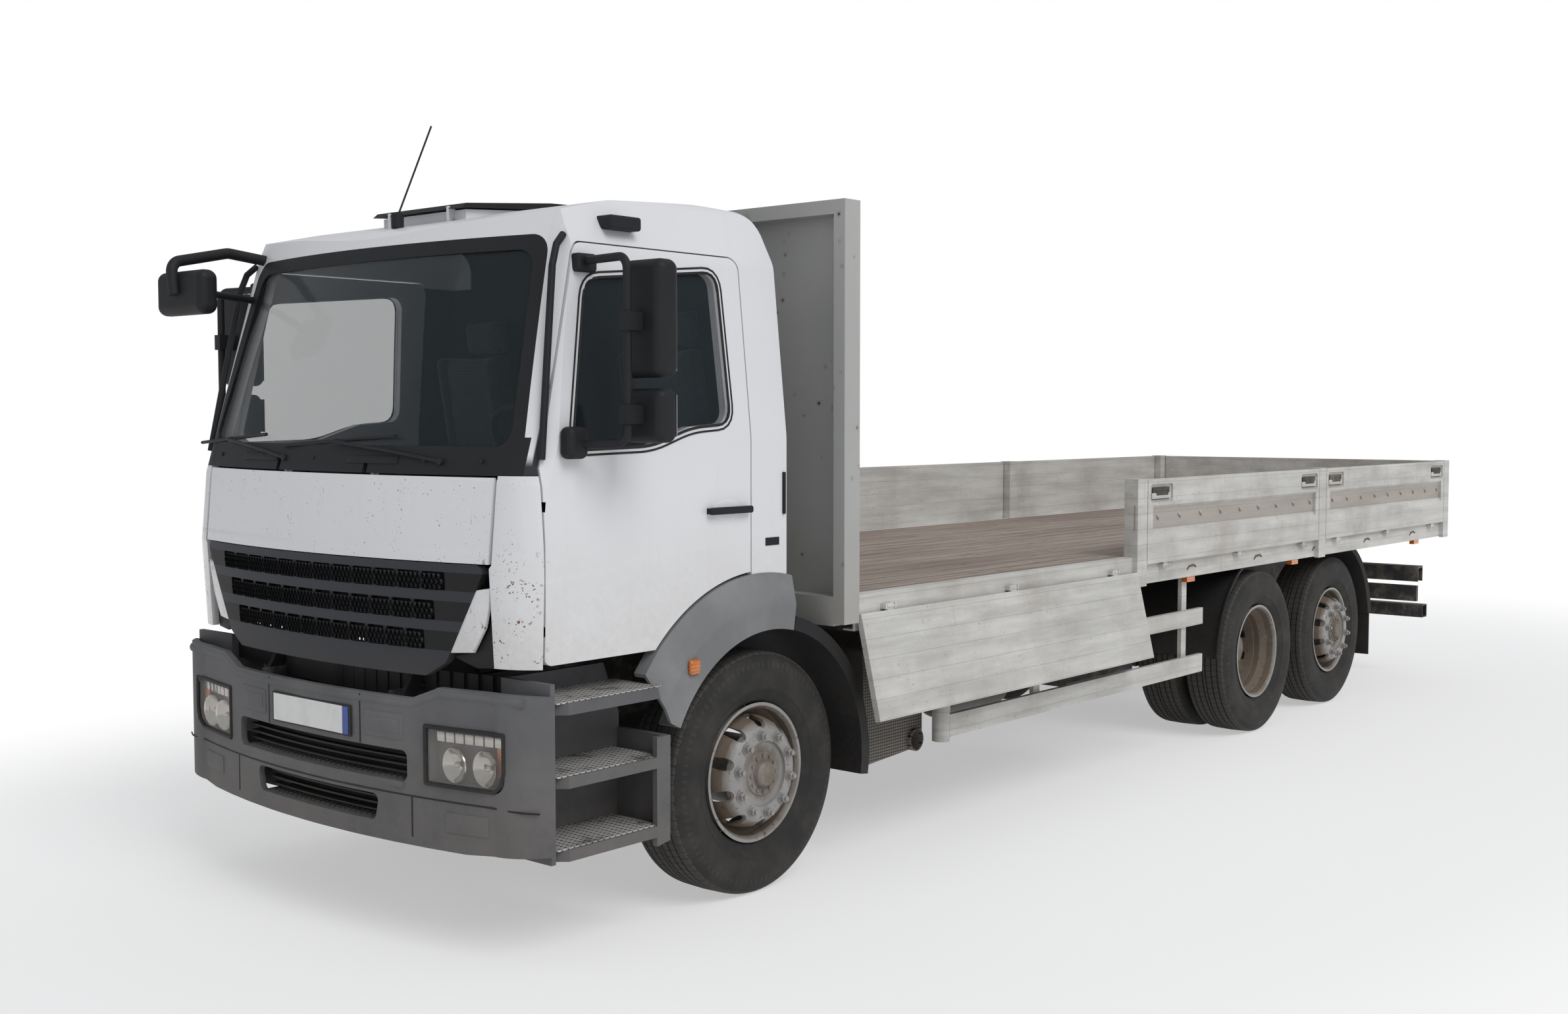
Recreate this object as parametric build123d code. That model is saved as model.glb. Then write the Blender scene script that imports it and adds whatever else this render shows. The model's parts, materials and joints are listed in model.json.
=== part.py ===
"""Three-axle platform truck with drop sides, a tilting cab and twin driven wheels.

Frame: +X to the front of the truck, +Y to its left side, +Z up, in millimetres.
The origin is on the ground, at the centre of the overall box. Places along the truck are given
from the front axle by the function at(), because that is how a truck is measured.
"""

from build123d import *
import os
from math import cos, radians, sin

# Overall sizes and axles
LENGTH = 9680
FRONT_REACH = 1510        # front axle to the front mirror's foremost point
WHEELBASE = 4800          # front axle to driven axle
AXLE_SPREAD = 1350        # driven axle to trailing axle
BED_WIDTH = 2550
AXLE_1 = LENGTH / 2 - FRONT_REACH
REAR_REACH = LENGTH - FRONT_REACH
DRIVE_X = -WHEELBASE
TAG_X = -WHEELBASE - AXLE_SPREAD

# Tyres and disc wheels, 295/80 R 22.5
TYRE_R = 522
TYRE_HALF = 149
RIM_FLANGE_R = 298.5
RIM_HALF = 122
BEAD_R = 285.5
DROP_R = 255
RIM_SKIN = 8
DISC_SKIN = 13
DISC_OUTSET = 167         # rim centre to the wheel's mounting face
HUB_BORE_R = 140.5
HAND_HOLES = 10
HAND_HOLE_R = 27
HAND_HOLE_PCR = 222
STEER_Y = 1000            # rim centre of the steered wheels
TAG_Y = 1018
DRIVE_OUTER_Y = 1084
TWIN_SPACING = 2 * DISC_OUTSET
STUB_R = 52               # stub axles of the front and trailing wheels
STUB_END = 1090
AXLE_TUBE_R = 72          # driven axle
RUN_GAP = 0.05            # clearance of each shaft or pin in its hole

# Steering
KINGPIN_Y = 845
KINGPIN_R = 24
EYE_R = 40

# Chassis frame
RAIL_OUTER_Y = 430
RAIL_FLANGE = 75
RAIL_SKIN = 9
RAIL_TOP = 980
RAIL_DEPTH = 270
RAIL_FRONT = 1180
RAIL_REAR = -7820
SPRING_Y = RAIL_OUTER_Y - RAIL_FLANGE / 2
CROSS_MEMBERS = (1140, -1900, -3300, -4200, -5500, -6700)
COUPLING_Y = 160          # bolt pattern for a drawbar coupling
COUPLING_Z = 100
COUPLING_HOLE_R = 10.5
COUPLING_HEIGHT = 845

# Cab, seen from the side: height and how far the front stands back from the belt line's front
CAB_FRONT_LINE = (         # height, offset of the front
    (1050, -25),
    (1490, 0),
    (1815, -31),
    (2720, -300),
)
BELT_FRONT = 1425          # foremost point of the belt line, on the centre line
BOW = 108                  # how far the front bows back at the corner seam
SEAM_Y = 972               # seam between front flap and corner panel
CAB_HALF = 1150
CAB_TOP_HALF = 1075        # half width at the gutter
GUTTER_Z = 2740
ROOF_Z = 2925
ROOF_FRONT_Z = 2790
CAB_REAR = -168
CAB_FLOOR = 1300
FLOOR_SKIN = 60
CAB_WALL = 55
CORNER_BACK = 1203         # corner panel to door seam
SEAM = 6                   # gap between panels that move apart
ARCH_R = 620               # wheel arch opening
FLARE_R = 855              # outer edge of the wheel arch flare
FLARE_Y = 1212
DOOR_SKIN = 52
DOOR_BOTTOM = 1112
DOOR_TOP = 2700
DOOR_REAR = 58
DOOR_HINGE_X = 1140
DOOR_HINGE_Y = 1140
DOOR_PIN_R = 3
DOOR_HINGES = (1230, 1690)
PILLAR_Y = 1030            # outer face of the pillar that carries the door's hinge arms
GRILLE_ROWS = (            # lower edge, upper edge, half width
    (1385, 1455, 770),
    (1270, 1345, 710),
    (1155, 1230, 650),
)
GRILLE_COLUMNS = 12
GRILLE_RIB = 16
FLAP_HINGE_X = 1330
FLAP_HINGE_Z = 1850
FLAP_PIN_R = 5
FLAP_ARMS = (-300, 300)
PANEL_TOP = 1811           # upper edge of the front flap
HATCH_FRONT = 850          # curb of the roof hatch
HATCH_REAR = 300
HATCH_HALF = 280
HATCH_RISE = 0.07          # the roof climbs this much to the rear
CURB_FRONT_Z = 2890
FRONT_ARM_R = 24           # tube that carries the front mirror
HATCH_PIN_X = HATCH_FRONT + 24
HATCH_PIN_Z = CURB_FRONT_Z + 10
HATCH_PIN_R = 4
HATCH_ARMS = (-200, 200)
TAIL_BAR_LOW = 742         # bar that carries the tail lamps
TILT_X = 1335
TILT_Z = 930
TILT_PIN_R = 15
CAB_BEAM_Z = 1215

# Load bed
DECK_Z = 1245
FLOOR_BOARD = 30
RAIL_FACE_Y = 1243         # outer face of the bed's side rail
SIDE_RAIL_LOW = 1085
BOARD_SKIN = 28
BOARD_LOW = 1200
BOARD_TOP = 1681
POST_LOW = 1078
BED_FRONT = -411
HEADBOARD_SKIN = 108
HEADBOARD_TOP = 2977
POST_WIDTH = 111
POST_INNER = 1190
HINGE_Y = 1262
HINGE_Z = 1180
BOARD_PIN_R = 7
TAIL_HINGES = (-800, 0, 800)
REST_TILT = 13             # the lowered board hangs this far out of the vertical
BOARD_GAP = 6
LATCH_INSET = 30           # latches at both ends of each side board
LATCH_LENGTH = 270
LATCH_HEIGHT = 104
LATCH_LOW = 1548
BED_BACK = BED_FRONT - HEADBOARD_SKIN
BED_REAR = -REAR_REACH + BOARD_SKIN + 4
RAIL_WEB = 6               # skin of the side rail's outer web
CROSS_LOW = 1115           # underside of the bed's cross members
BED_CROSS_COUNT = 15
MARKER_PLACES = (BED_REAR + 4345, BED_REAR + 2838, BED_REAR + 559)
POST_1 = -3057             # front edges of the side posts
POST_2 = -5598
POST_3 = -REAR_REACH + POST_WIDTH

HALF_BED = BED_WIDTH / 2


def at(x):
    """Place along the truck, from the front axle."""
    return AXLE_1 + x


def block(x0, x1, y0, y1, z0, z1):
    """Box from limits; x is measured from the front axle."""
    centre = (at((x0 + x1) / 2), (y0 + y1) / 2, (z0 + z1) / 2)
    return Pos(*centre) * Box(abs(x1 - x0), abs(y1 - y0), abs(z1 - z0))


def prism(points, direction, amount, radii=None):
    """Extrudes the polygon through points in space, then rounds the edges that radii name."""
    solid = extrude(make_face(Polyline(*points, close=True)), amount=amount, dir=direction)
    if radii is None:
        return solid
    half = Vector(*direction) * (amount / 2)
    for radius in sorted(set(radii) - {0}):
        middles = [Vector(*p) + half for p, r in zip(points, radii) if r == radius]
        edges = [
            edge for edge in solid.edges()
            if min((edge.center() - middle).length for middle in middles) < 0.01
        ]
        solid = fillet(edges, radius)
    return solid


def side_plate(points, y0, y1, radii=None):
    """Plate seen from the side: points are (x from the front axle, z)."""
    return prism([(at(x), y0, z) for x, z in points], (0, 1, 0), y1 - y0, radii)


def front_plate(points, x0, x1, radii=None):
    """Plate seen from the front: points are (y, z)."""
    return prism([(at(x0), y, z) for y, z in points], (1, 0, 0), x1 - x0, radii)


def top_plate(points, z0, z1, radii=None):
    """Plate seen from above: points are (x from the front axle, y)."""
    return prism([(at(x), y, z0) for x, y in points], (0, 0, 1), z1 - z0, radii)


def rod(start, end, radius):
    """Round bar between two points; x is measured from the front axle."""
    a, b = (Vector(at(p[0]), p[1], p[2]) for p in (start, end))
    plane = Plane(origin=a, z_dir=(b - a).normalized())
    return extrude(plane * Circle(radius), amount=(b - a).length)


def bent_tube(points, radius, bend):
    """Round bar along straight runs with arcs between; x is from the front axle."""
    path = FilletPolyline(*[(at(x), y, z) for x, y, z in points], radius=bend)
    start = Plane(origin=path @ 0, z_dir=path % 0)
    return sweep(start * Circle(radius), path=path)


def other_side(shape):
    """The same piece on the truck's right side."""
    return mirror(shape, about=Plane.XZ)


def cut(shape, *tools):
    """The shape without the tools, still one part when it falls into several solids."""
    for tool in tools:
        shape = Part((shape - tool).wrapped)
    return shape


def fuse(*shapes):
    """The shapes as one part, touching or not."""
    whole = shapes[0]
    for shape in shapes[1:]:
        whole = Part((whole + shape).wrapped)
    return whole


def common(first, second):
    """What two shapes share, as one part."""
    return Part((first & second).wrapped)


def both_sides(shape):
    return [shape, other_side(shape)]


def axle_axis(x):
    """Axis of the wheels at x; turning about it carries the front towards the top."""
    return Axis((at(x), 0, TYRE_R), (0, -1, 0))


def ring_sector(x, section, start, sweep_angle):
    """Turns a section of (radius, y) points about an axle, from a start angle above the front."""
    face = make_face(Polyline(*[(at(x) + r, y, TYRE_R) for r, y in section], close=True))
    solid = revolve(face, axis=axle_axis(x), revolution_arc=sweep_angle)
    return solid.rotate(axle_axis(x), start)


def cylinder_y(x, z, radius, y0, y1):
    """Round bar across the truck."""
    plane = Plane(origin=(at(x), y0, z), x_dir=(1, 0, 0), z_dir=(0, 1, 0))
    return extrude(plane * Circle(radius), amount=y1 - y0)


# Wheels

def wheel_section(points, x, y_centre):
    """Turns (radius, y) points round an axle, y being counted from the wheel's centre plane."""
    face = make_face(Polyline(*[(at(x) + r, y_centre + y, TYRE_R) for r, y in points], close=True))
    return revolve(face, axis=axle_axis(x), revolution_arc=360)


def tyre(x, y):
    """Hollow tyre: sidewalls bulge as arcs from bead to shoulder, plain inside."""
    def place(r, w):
        return (at(x) + r, y + w, TYRE_R)

    bead, wall, shoulder = 106, TYRE_HALF, 122
    rubber, belt = 20, 26
    shoulder_r = TYRE_R - 20
    inside = [
        (BEAD_R, -bead), (BEAD_R, rubber - bead), (395, rubber - wall),
        (TYRE_R - 34, belt - shoulder), (TYRE_R - belt, 0), (TYRE_R - 34, shoulder - belt),
        (395, wall - rubber), (BEAD_R, bead - rubber), (BEAD_R, bead),
    ]
    edges = [
        ThreePointArc(place(BEAD_R, bead), place(395, wall), place(shoulder_r, shoulder)),
        Line(place(shoulder_r, shoulder), place(TYRE_R - 4, 100)),
        Line(place(TYRE_R - 4, 100), place(TYRE_R, 50)),
        Line(place(TYRE_R, 50), place(TYRE_R, -50)),
        Line(place(TYRE_R, -50), place(TYRE_R - 4, -100)),
        Line(place(TYRE_R - 4, -100), place(shoulder_r, -shoulder)),
        ThreePointArc(place(shoulder_r, -shoulder), place(395, -wall), place(BEAD_R, -bead)),
        Polyline(*[place(r, w) for r, w in inside]),
    ]
    return revolve(make_face(edges), axis=axle_axis(x), revolution_arc=360)


def disc_wheel(x, y, outward):
    """Steel wheel: rim with a drop centre, and a dished disc with hand holes and a hub bore.

    outward is 1 where the disc bulges to the truck's left, -1 where it is dished the other way.
    """
    low = DROP_R - RIM_SKIN
    rim = [
        (RIM_FLANGE_R, RIM_HALF), (BEAD_R, RIM_HALF - 10), (BEAD_R, 80), (BEAD_R - 4, 62),
        (DROP_R, 34), (DROP_R, -20), (BEAD_R - 4, -62), (BEAD_R, -80),
        (BEAD_R, -RIM_HALF + 10), (RIM_FLANGE_R, -RIM_HALF),
        (RIM_FLANGE_R - 14, -RIM_HALF), (BEAD_R - 12, -RIM_HALF + 16), (BEAD_R - 14, -66),
        (low, -26), (low, 40), (BEAD_R - 14, 66), (BEAD_R - 12, RIM_HALF - 16),
        (RIM_FLANGE_R - 14, RIM_HALF),
    ]
    out = DISC_OUTSET
    disc = [
        (low + 2, 10), (low + 2, 38), (low - 8, 84), (226, 132), (204, 158), (188, out),
        (HUB_BORE_R, out), (HUB_BORE_R, out - DISC_SKIN), (184, out - DISC_SKIN), (197, 147),
        (214, 124), (low - 20, 80), (low - 12, 10),
    ]
    sections = [[(r, outward * w) for r, w in points] for points in (rim, disc)]
    wheel = wheel_section(sections[0], x, y) + wheel_section(sections[1], x, y)
    for n in range(HAND_HOLES):
        turn = radians(360 * (n + 0.5) / HAND_HOLES)
        hole = Pos(at(x) + HAND_HOLE_PCR * cos(turn), y + outward * 120,
                   TYRE_R + HAND_HOLE_PCR * sin(turn))
        wheel -= hole * Rot(90, 0, 0) * Cylinder(HAND_HOLE_R, 110)
    return wheel


def hub(x, y_face, y_inner, bore, tail):
    """Hub behind a wheel's mounting face, with a stepped cap through the wheel's bore."""
    points = [
        (0, 22), (46, 22), (54, 14), (60, -6), (92, -6), (98, -14), (HUB_BORE_R - 2, -14),
        (HUB_BORE_R - 2, -DISC_SKIN + 1), (HUB_BORE_R + 58, -DISC_SKIN + 1),
        (HUB_BORE_R + 58, -DISC_SKIN - 26), (150, -DISC_SKIN - 40), (150, y_inner - y_face),
        (bore + RUN_GAP, y_inner - y_face), (bore + RUN_GAP, tail - y_face + 4),
        (0, tail - y_face + 4),
    ]
    return wheel_section(points, x, y_face)


def steer_wheel_parts():
    """Left front wheel: tyre, and disc wheel with hub turning on the stub axle."""
    face_y = STEER_Y + DISC_OUTSET
    wheel = disc_wheel(0, STEER_Y, 1) + hub(0, face_y, 928, STUB_R, STUB_END)
    return tyre(0, STEER_Y), wheel


def tag_wheel_parts():
    face_y = TAG_Y + DISC_OUTSET
    wheel = disc_wheel(TAG_X, TAG_Y, 1) + hub(TAG_X, face_y, 905, STUB_R, STUB_END)
    return tyre(TAG_X, TAG_Y), wheel


def drive_wheel_parts():
    """Left driven wheels: two tyres, and two disc wheels back to back on one hub."""
    inner_y = DRIVE_OUTER_Y - TWIN_SPACING
    face_y = DRIVE_OUTER_Y - DISC_OUTSET
    wheels = disc_wheel(DRIVE_X, DRIVE_OUTER_Y, -1) + disc_wheel(DRIVE_X, inner_y, 1)
    cap = [
        (0, 150), (88, 150), (96, 140), (96, 60), (118, 40), (HUB_BORE_R - 2, 30),
        (HUB_BORE_R - 2, -DISC_SKIN + 1), (HUB_BORE_R + 58, -DISC_SKIN + 1),
        (HUB_BORE_R + 58, -DISC_SKIN - 26), (150, -DISC_SKIN - 40), (150, 640 - face_y),
        (AXLE_TUBE_R + RUN_GAP, 640 - face_y), (AXLE_TUBE_R + RUN_GAP, 40), (0, 40),
    ]
    wheels += wheel_section(cap, DRIVE_X, face_y)
    return [tyre(DRIVE_X, DRIVE_OUTER_Y), tyre(DRIVE_X, inner_y)], wheels


def knuckle():
    """Left steering knuckle: stub axle on a web, an ear above and below the axle's eye, and arms."""
    web_y = KINGPIN_Y + EYE_R + 6
    web_end = web_y + 30
    whole = cylinder_y(0, TYRE_R, STUB_R, web_end - 1, STUB_END)
    whole += block(-62, 62, web_y, web_end, TYRE_R - 108, TYRE_R + 108)
    for z0, z1 in ((TYRE_R - 108, TYRE_R - 62), (TYRE_R + 62, TYRE_R + 108)):
        ear = Pos(at(0), KINGPIN_Y, (z0 + z1) / 2) * Cylinder(50, z1 - z0)
        ear += block(-50, 50, KINGPIN_Y, web_end, z0, z1)
        whole += ear - Pos(at(0), KINGPIN_Y, TYRE_R) * Cylinder(KINGPIN_R + RUN_GAP, 300)
    whole += block(-222, -61, KINGPIN_Y + 5, web_end, TYRE_R - 40, TYRE_R + 95)
    return whole + block(-235, -30, KINGPIN_Y - 25, KINGPIN_Y + 25, TYRE_R - 108, TYRE_R - 66)


def front_axle():
    """Dropped beam with an eye and kingpin at each end, on two leaf springs."""
    eye = Pos(at(0), KINGPIN_Y, TYRE_R) * Cylinder(EYE_R, 118)
    pin = Pos(at(0), KINGPIN_Y, TYRE_R) * Cylinder(KINGPIN_R, 240)
    beam = front_plate(
        [(0, 395), (560, 395), (700, 470), (KINGPIN_Y - 20, 480), (KINGPIN_Y - 20, 560),
         (690, 560), (550, 480), (0, 480)], -45, 45)
    spring = leaf_spring(0, 800, 480)
    seat = block(-90, 90, SPRING_Y - 45, SPRING_Y + 45, 470, 506)
    half = eye + pin + beam + spring + seat
    return half + other_side(half)


def leaf_spring(x, reach, z):
    """Three leaves that bow down in the middle, with shackles up to the frame rail."""
    pack = None
    for n, (length, depth) in enumerate(((reach, 0), (reach * 0.72, 26), (reach * 0.42, 50))):
        rise = 130 * (length / reach) ** 2
        low = z + 74 - depth
        leaf = make_face([
            ThreePointArc((at(x - length), SPRING_Y - 40, low + rise), (at(x), SPRING_Y - 40, low),
                          (at(x + length), SPRING_Y - 40, low + rise)),
            Line((at(x + length), SPRING_Y - 40, low + rise),
                 (at(x + length), SPRING_Y - 40, low + rise + 20)),
            ThreePointArc((at(x + length), SPRING_Y - 40, low + rise + 20),
                          (at(x), SPRING_Y - 40, low + 24),
                          (at(x - length), SPRING_Y - 40, low + rise + 20)),
            Line((at(x - length), SPRING_Y - 40, low + rise + 20),
                 (at(x - length), SPRING_Y - 40, low + rise)),
        ])
        blade = extrude(leaf, amount=80, dir=(0, 1, 0))
        pack = blade if pack is None else pack + blade
    clamp = block(x - 70, x + 70, SPRING_Y - 44, SPRING_Y + 44, z - 5, z + 104)
    return pack + clamp


# Chassis

def frame():
    """Two channel rails with a rear plate, spring hangers and cab mounts."""
    inner = RAIL_OUTER_Y - RAIL_FLANGE
    low = RAIL_TOP - RAIL_DEPTH
    rail = block(RAIL_REAR, RAIL_FRONT, inner, RAIL_OUTER_Y, low, RAIL_TOP)
    rail -= block(RAIL_REAR - 1, RAIL_FRONT + 1, inner - 1, RAIL_OUTER_Y - RAIL_SKIN,
                  low + RAIL_SKIN, RAIL_TOP - RAIL_SKIN)
    half = rail
    for x in (800, -800):
        half += block(x - 50, x + 50, inner + 5, RAIL_OUTER_Y, 704, low + 20)
    half += side_plate([(1100, 720), (1250, 800), (TILT_X + 38, TILT_Z - 60),
                        (TILT_X + 38, TILT_Z + 45), (TILT_X - 60, TILT_Z + 45), (1100, 960)],
                       RAIL_OUTER_Y - 1, RAIL_OUTER_Y + 24)
    half -= cylinder_y(TILT_X, TILT_Z, TILT_PIN_R + RUN_GAP, RAIL_OUTER_Y - 20,
                       RAIL_OUTER_Y + 60)
    half += block(-130, -70, 375, RAIL_OUTER_Y, RAIL_TOP - 1, CAB_BEAM_Z)
    whole = half + other_side(half)
    rear = block(RAIL_REAR - 14, RAIL_REAR, -RAIL_OUTER_Y, RAIL_OUTER_Y, low, RAIL_TOP)
    for y in (-COUPLING_Y / 2, COUPLING_Y / 2):
        for z in (-COUPLING_Z / 2, COUPLING_Z / 2):
            rear -= Pos(at(RAIL_REAR), y, COUPLING_HEIGHT + z) * Rot(0, 90, 0) * Cylinder(
                COUPLING_HOLE_R, 60)
    return whole + rear


def cross_members():
    """Members between the frame rails' webs."""
    web = RAIL_OUTER_Y - RAIL_SKIN
    low, high = RAIL_TOP - RAIL_DEPTH + 30, RAIL_TOP - 60
    return [block(x - 40, x + 40, -web, web, low, high) for x in CROSS_MEMBERS]


def powertrain():
    """Engine as one plain block, gearbox, propeller shaft and the cooling pack in front."""
    engine = block(-400, 620, -300, 300, 560, 1180)
    gearbox = block(-1350, -400, -190, 190, 600, 930)
    shaft = rod((-1350, 0, 700), (DRIVE_X + 356, 0, 558), 55)
    low = RAIL_TOP - RAIL_DEPTH
    feet = [block(200, 300, -400, 400, 640, low), block(-1120, -1040, -400, 400, 670, low)]
    radiator = block(700, 900, -400, 400, 620, 1170) - block(
        690, 910, -401, -345, 600, RAIL_TOP) - block(690, 910, 345, 401, 600, RAIL_TOP)
    neck = block(620, 700, -150, 150, 800, 1000)
    return fuse(engine, gearbox, shaft, radiator, neck, *feet)


def rear_axles():
    """Driven axle with its differential, trailing axle, air bellows and their arms."""
    tube = cylinder_y(DRIVE_X, TYRE_R, AXLE_TUBE_R, -955, 955)
    bulb = Pos(at(DRIVE_X), 0, TYRE_R) * Sphere(185)
    nose = rod((DRIVE_X, 0, TYRE_R), (DRIVE_X + 345, 0, 556), 80)
    axles = tube + bulb + nose
    tag = cylinder_y(TAG_X, TYRE_R, STUB_R, -STUB_END, STUB_END)
    tag += block(TAG_X - 60, TAG_X + 60, -820, 820, TYRE_R - 60, TYRE_R + 60)
    for x, beam_y in ((DRIVE_X, 470), (TAG_X, 470)):
        for side in (-1, 1):
            y = side * beam_y
            arm = block(x - 330, x + 330, y - 45, y + 45, TYRE_R - 130, TYRE_R - 62)
            link = block(x - 60, x + 60, y - 50, y + 50, TYRE_R - 130, TYRE_R + 10)
            axles += arm + link
            for end in (-260, 260):
                low, high = TYRE_R - 62, RAIL_TOP - RAIL_DEPTH
                bag = Pos(at(x + end), y, (low + high) / 2) * Cylinder(105, high - low)
                axles += bag
    return axles, tag


def exhaust():
    """Silencer box with a tail pipe through its perforated side cover."""
    low, high, outer = 410, 960, 1085
    box = side_plate([(-800, low), (-1262, low + 30), (-1262, high), (-790, high)], 480, outer,
                     radii=[30, 30, 20, 20])
    pipe = cylinder_y(-1195, 478, 54, outer - 60, outer + 20)
    box += pipe
    box -= cylinder_y(-1195, 478, 48, outer - 90, outer + 21)
    return box + block(-1200, -850, RAIL_OUTER_Y, 481, 760, 900)


def tanks():
    """Fuel tank on the right, air tanks and battery box on the left."""
    fuel = front_plate([(-520, 420), (-1110, 420), (-1110, 960), (-520, 960)], -2450, -1250,
                       radii=[90, 90, 90, 90])
    straps = [
        front_plate([(-RAIL_OUTER_Y, 410), (-1118, 410), (-1118, 968), (-RAIL_OUTER_Y, 968)],
                    x - 25, x + 25, radii=[60, 96, 96, 40]) for x in (-1500, -2200)
    ]
    fuel_tank = fuel + straps[0] + straps[1]
    air = None
    for x0, x1, y, z in ((-2080, -1500, 960, 640), (-2080, -1500, 690, 640)):
        drum = fillet(rod((x0, y, z), (x1, y, z), 120).edges(), 50)
        middle = (x0 + x1) / 2
        hanger = block(middle - 25, middle + 25, RAIL_OUTER_Y, y + 20, z + 90, z + 135)
        air = drum + hanger if air is None else air + drum + hanger
    battery = block(-3300, -2560, 470, 1120, 560, 930)
    battery = fillet(battery.edges().filter_by(Axis.X), 25)
    battery += block(-3000, -2860, RAIL_OUTER_Y, 480, 720, 900)
    return [fuel_tank, air, battery]


def bumper_form(inset):
    """The bumper's outer shape, taken in all round by inset."""
    half = 1228 - inset
    front = 1440 - inset
    plan = make_face([
        ThreePointArc((at(1325 - inset), -1000 + inset, 0), (at(front), 0, 0),
                      (at(1325 - inset), 1000 - inset, 0)),
        ThreePointArc((at(1325 - inset), 1000 - inset, 0), (at(1292 - inset), half - 70, 0),
                      (at(1232), half, 0)),
        Line((at(1232), half, 0), (at(1228), half, 0)),
        Line((at(1228), half, 0), (at(1228), -half, 0)),
        Line((at(1228), -half, 0), (at(1232), -half, 0)),
        ThreePointArc((at(1232), -half, 0), (at(1292 - inset), -half + 70, 0),
                      (at(1325 - inset), -1000 + inset, 0)),
    ])
    return plan


def bumper():
    """Hollow three-storey bumper: notch under the grille, lamp housings, step and air openings."""
    low, high, skin = 400, 1018, 26
    outer = extrude(Pos(0, 0, low) * bumper_form(0), amount=high - low)
    inner = extrude(Pos(0, 0, low - 1) * bumper_form(skin), amount=high - low + 2)
    shell = outer - inner
    shell -= front_plate([(-735, 1100), (-735, 1015), (-600, 966), (600, 966), (735, 1015),
                          (735, 1100)], 1200, 1500)
    shell -= front_plate([(-580, 640), (580, 640), (580, 762), (-580, 762)], 1300, 1500,
                         radii=[30, 30, 30, 30])
    shell -= front_plate([(-400, 470), (400, 470), (425, 575), (-425, 575)], 1300, 1500,
                         radii=[30, 30, 30, 30])
    shell -= front_plate([(-1300, 300), (1300, 300), (1300, 432), (870, 400), (-870, 400),
                          (-1300, 432)], 1200, 1500)
    for side in (-1, 1):
        shell -= front_plate([(side * 675, 645), (side * 1060, 645), (side * 1060, 872),
                              (side * 675, 872)], 1250, 1500, radii=[24, 60, 60, 24])
    shelf = top_plate([(1230, -560), (1412, -560), (1432, 0), (1412, 560), (1230, 560)], 618, 640)
    low_shelf = top_plate([(1230, -400), (1414, -400), (1432, 0), (1414, 400), (1230, 400)],
                          450, 470)
    cheeks = [block(1228, 1240, y - 14, y + 14, low + 40, 960) for y in (-640, 640)]
    back = block(1228, 1236, -1190, 1190, 560, 640)
    whole = shell + shelf + low_shelf + back + cheeks[0] + cheeks[1]
    mounts = block(RAIL_FRONT, 1234, 400, 428, 620, 760)
    return whole + mounts + other_side(mounts)


def headlamps():
    """Lamp bodies behind the bumper's openings, curved like its face."""
    form = extrude(Pos(0, 0, 600) * bumper_form(9), amount=300)
    core = extrude(Pos(0, 0, 599) * bumper_form(60), amount=302)
    skin = form - core
    window = front_plate([(675, 645), (1060, 645), (1060, 872), (675, 872)], 1240, 1500,
                         radii=[24, 60, 60, 24])
    return both_sides(skin & window)


def steps():
    """Entry steps: three treads between an inner wall and a rear cheek, left and right."""
    inner, outer, front = 930, 1226, 1228
    wall = block(640, front, inner, inner + 20, 400, 1060)
    wall += block(860, 960, RAIL_OUTER_Y, inner + 1, 730, 800)
    cheek = side_plate([(front, 390), (front - 22, 390), (front - 22, 1060), (front, 1060)],
                       inner, 1205)
    rear_cheek = side_plate([(628, 372), (700, 360), (700, 790), (625, 790)], inner, outer)
    rear_cheek -= block(650, 701, inner + 20, outer - 24, 350, 800)
    half = wall + cheek + rear_cheek
    for top, x0, x1 in ((985, 640, front), (712, 650, front), (440, 650, front)):
        tread = top_plate([(x0, inner), (x1, inner), (x1, 1150), (x1 - 70, outer), (x0, outer)],
                          top - 44, top)
        half += tread
    return both_sides(half - side_plate(
        [(560, 850), (640, 850), (728, 1070), (560, 1070)], 880, 1260))


def front_mudguards():
    """Rear half of each front wheel arch, carried by the chassis, with its liner."""
    skin = 12
    flare = ring_sector(0, [(ARCH_R, 1045), (ARCH_R, FLARE_Y), (ARCH_R + 60, FLARE_Y - 4),
                            (ARCH_R + 60, FLARE_Y - 16), (ARCH_R + skin, FLARE_Y - skin),
                            (ARCH_R + skin, 1045)], 104, 85)
    liner = ring_sector(0, [(ARCH_R, 640), (ARCH_R, 1046), (ARCH_R + skin, 1046),
                            (ARCH_R + skin, 640)], 62, 127)
    bracket = block(-620, -560, RAIL_OUTER_Y, 700, 740, 800)
    bracket -= cylinder_y(0, TYRE_R, ARCH_R + skin / 2, 400, 720)
    half = flare + liner + bracket
    return both_sides(half)


def rear_mudguards():
    """Arched guards over the driven and trailing wheels, with a flap behind."""
    skin, radius = 10, 612
    above = block(TAG_X - 1000, DRIVE_X + 1000, 500, 1300, 1078, 1300)
    drive = ring_sector(DRIVE_X, [(radius, 600), (radius, 1225), (radius + 30, 1238),
                                  (radius + 30, 1226), (radius + skin, 1213),
                                  (radius + skin, 600)], 2, 66)
    tag = ring_sector(TAG_X, [(radius, 840), (radius, 1180), (radius + 30, 1193),
                              (radius + 30, 1181), (radius + skin, 1168),
                              (radius + skin, 840)], 112, 62)
    flap = block(TAG_X - radius - 12, TAG_X - radius - 4, 850, 1185, 280, 640)
    return drive - above, tag - above, flap


def mudguard_arms():
    """Bars that carry the rear mudguards from the frame."""
    bars = [((DRIVE_X + 560, 800), 600), ((TAG_X - 590, 700), 840)]
    return [
        rod((x, RAIL_OUTER_Y, z), (x, y + 40, z), 18) for (x, z), y in bars
    ]


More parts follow.
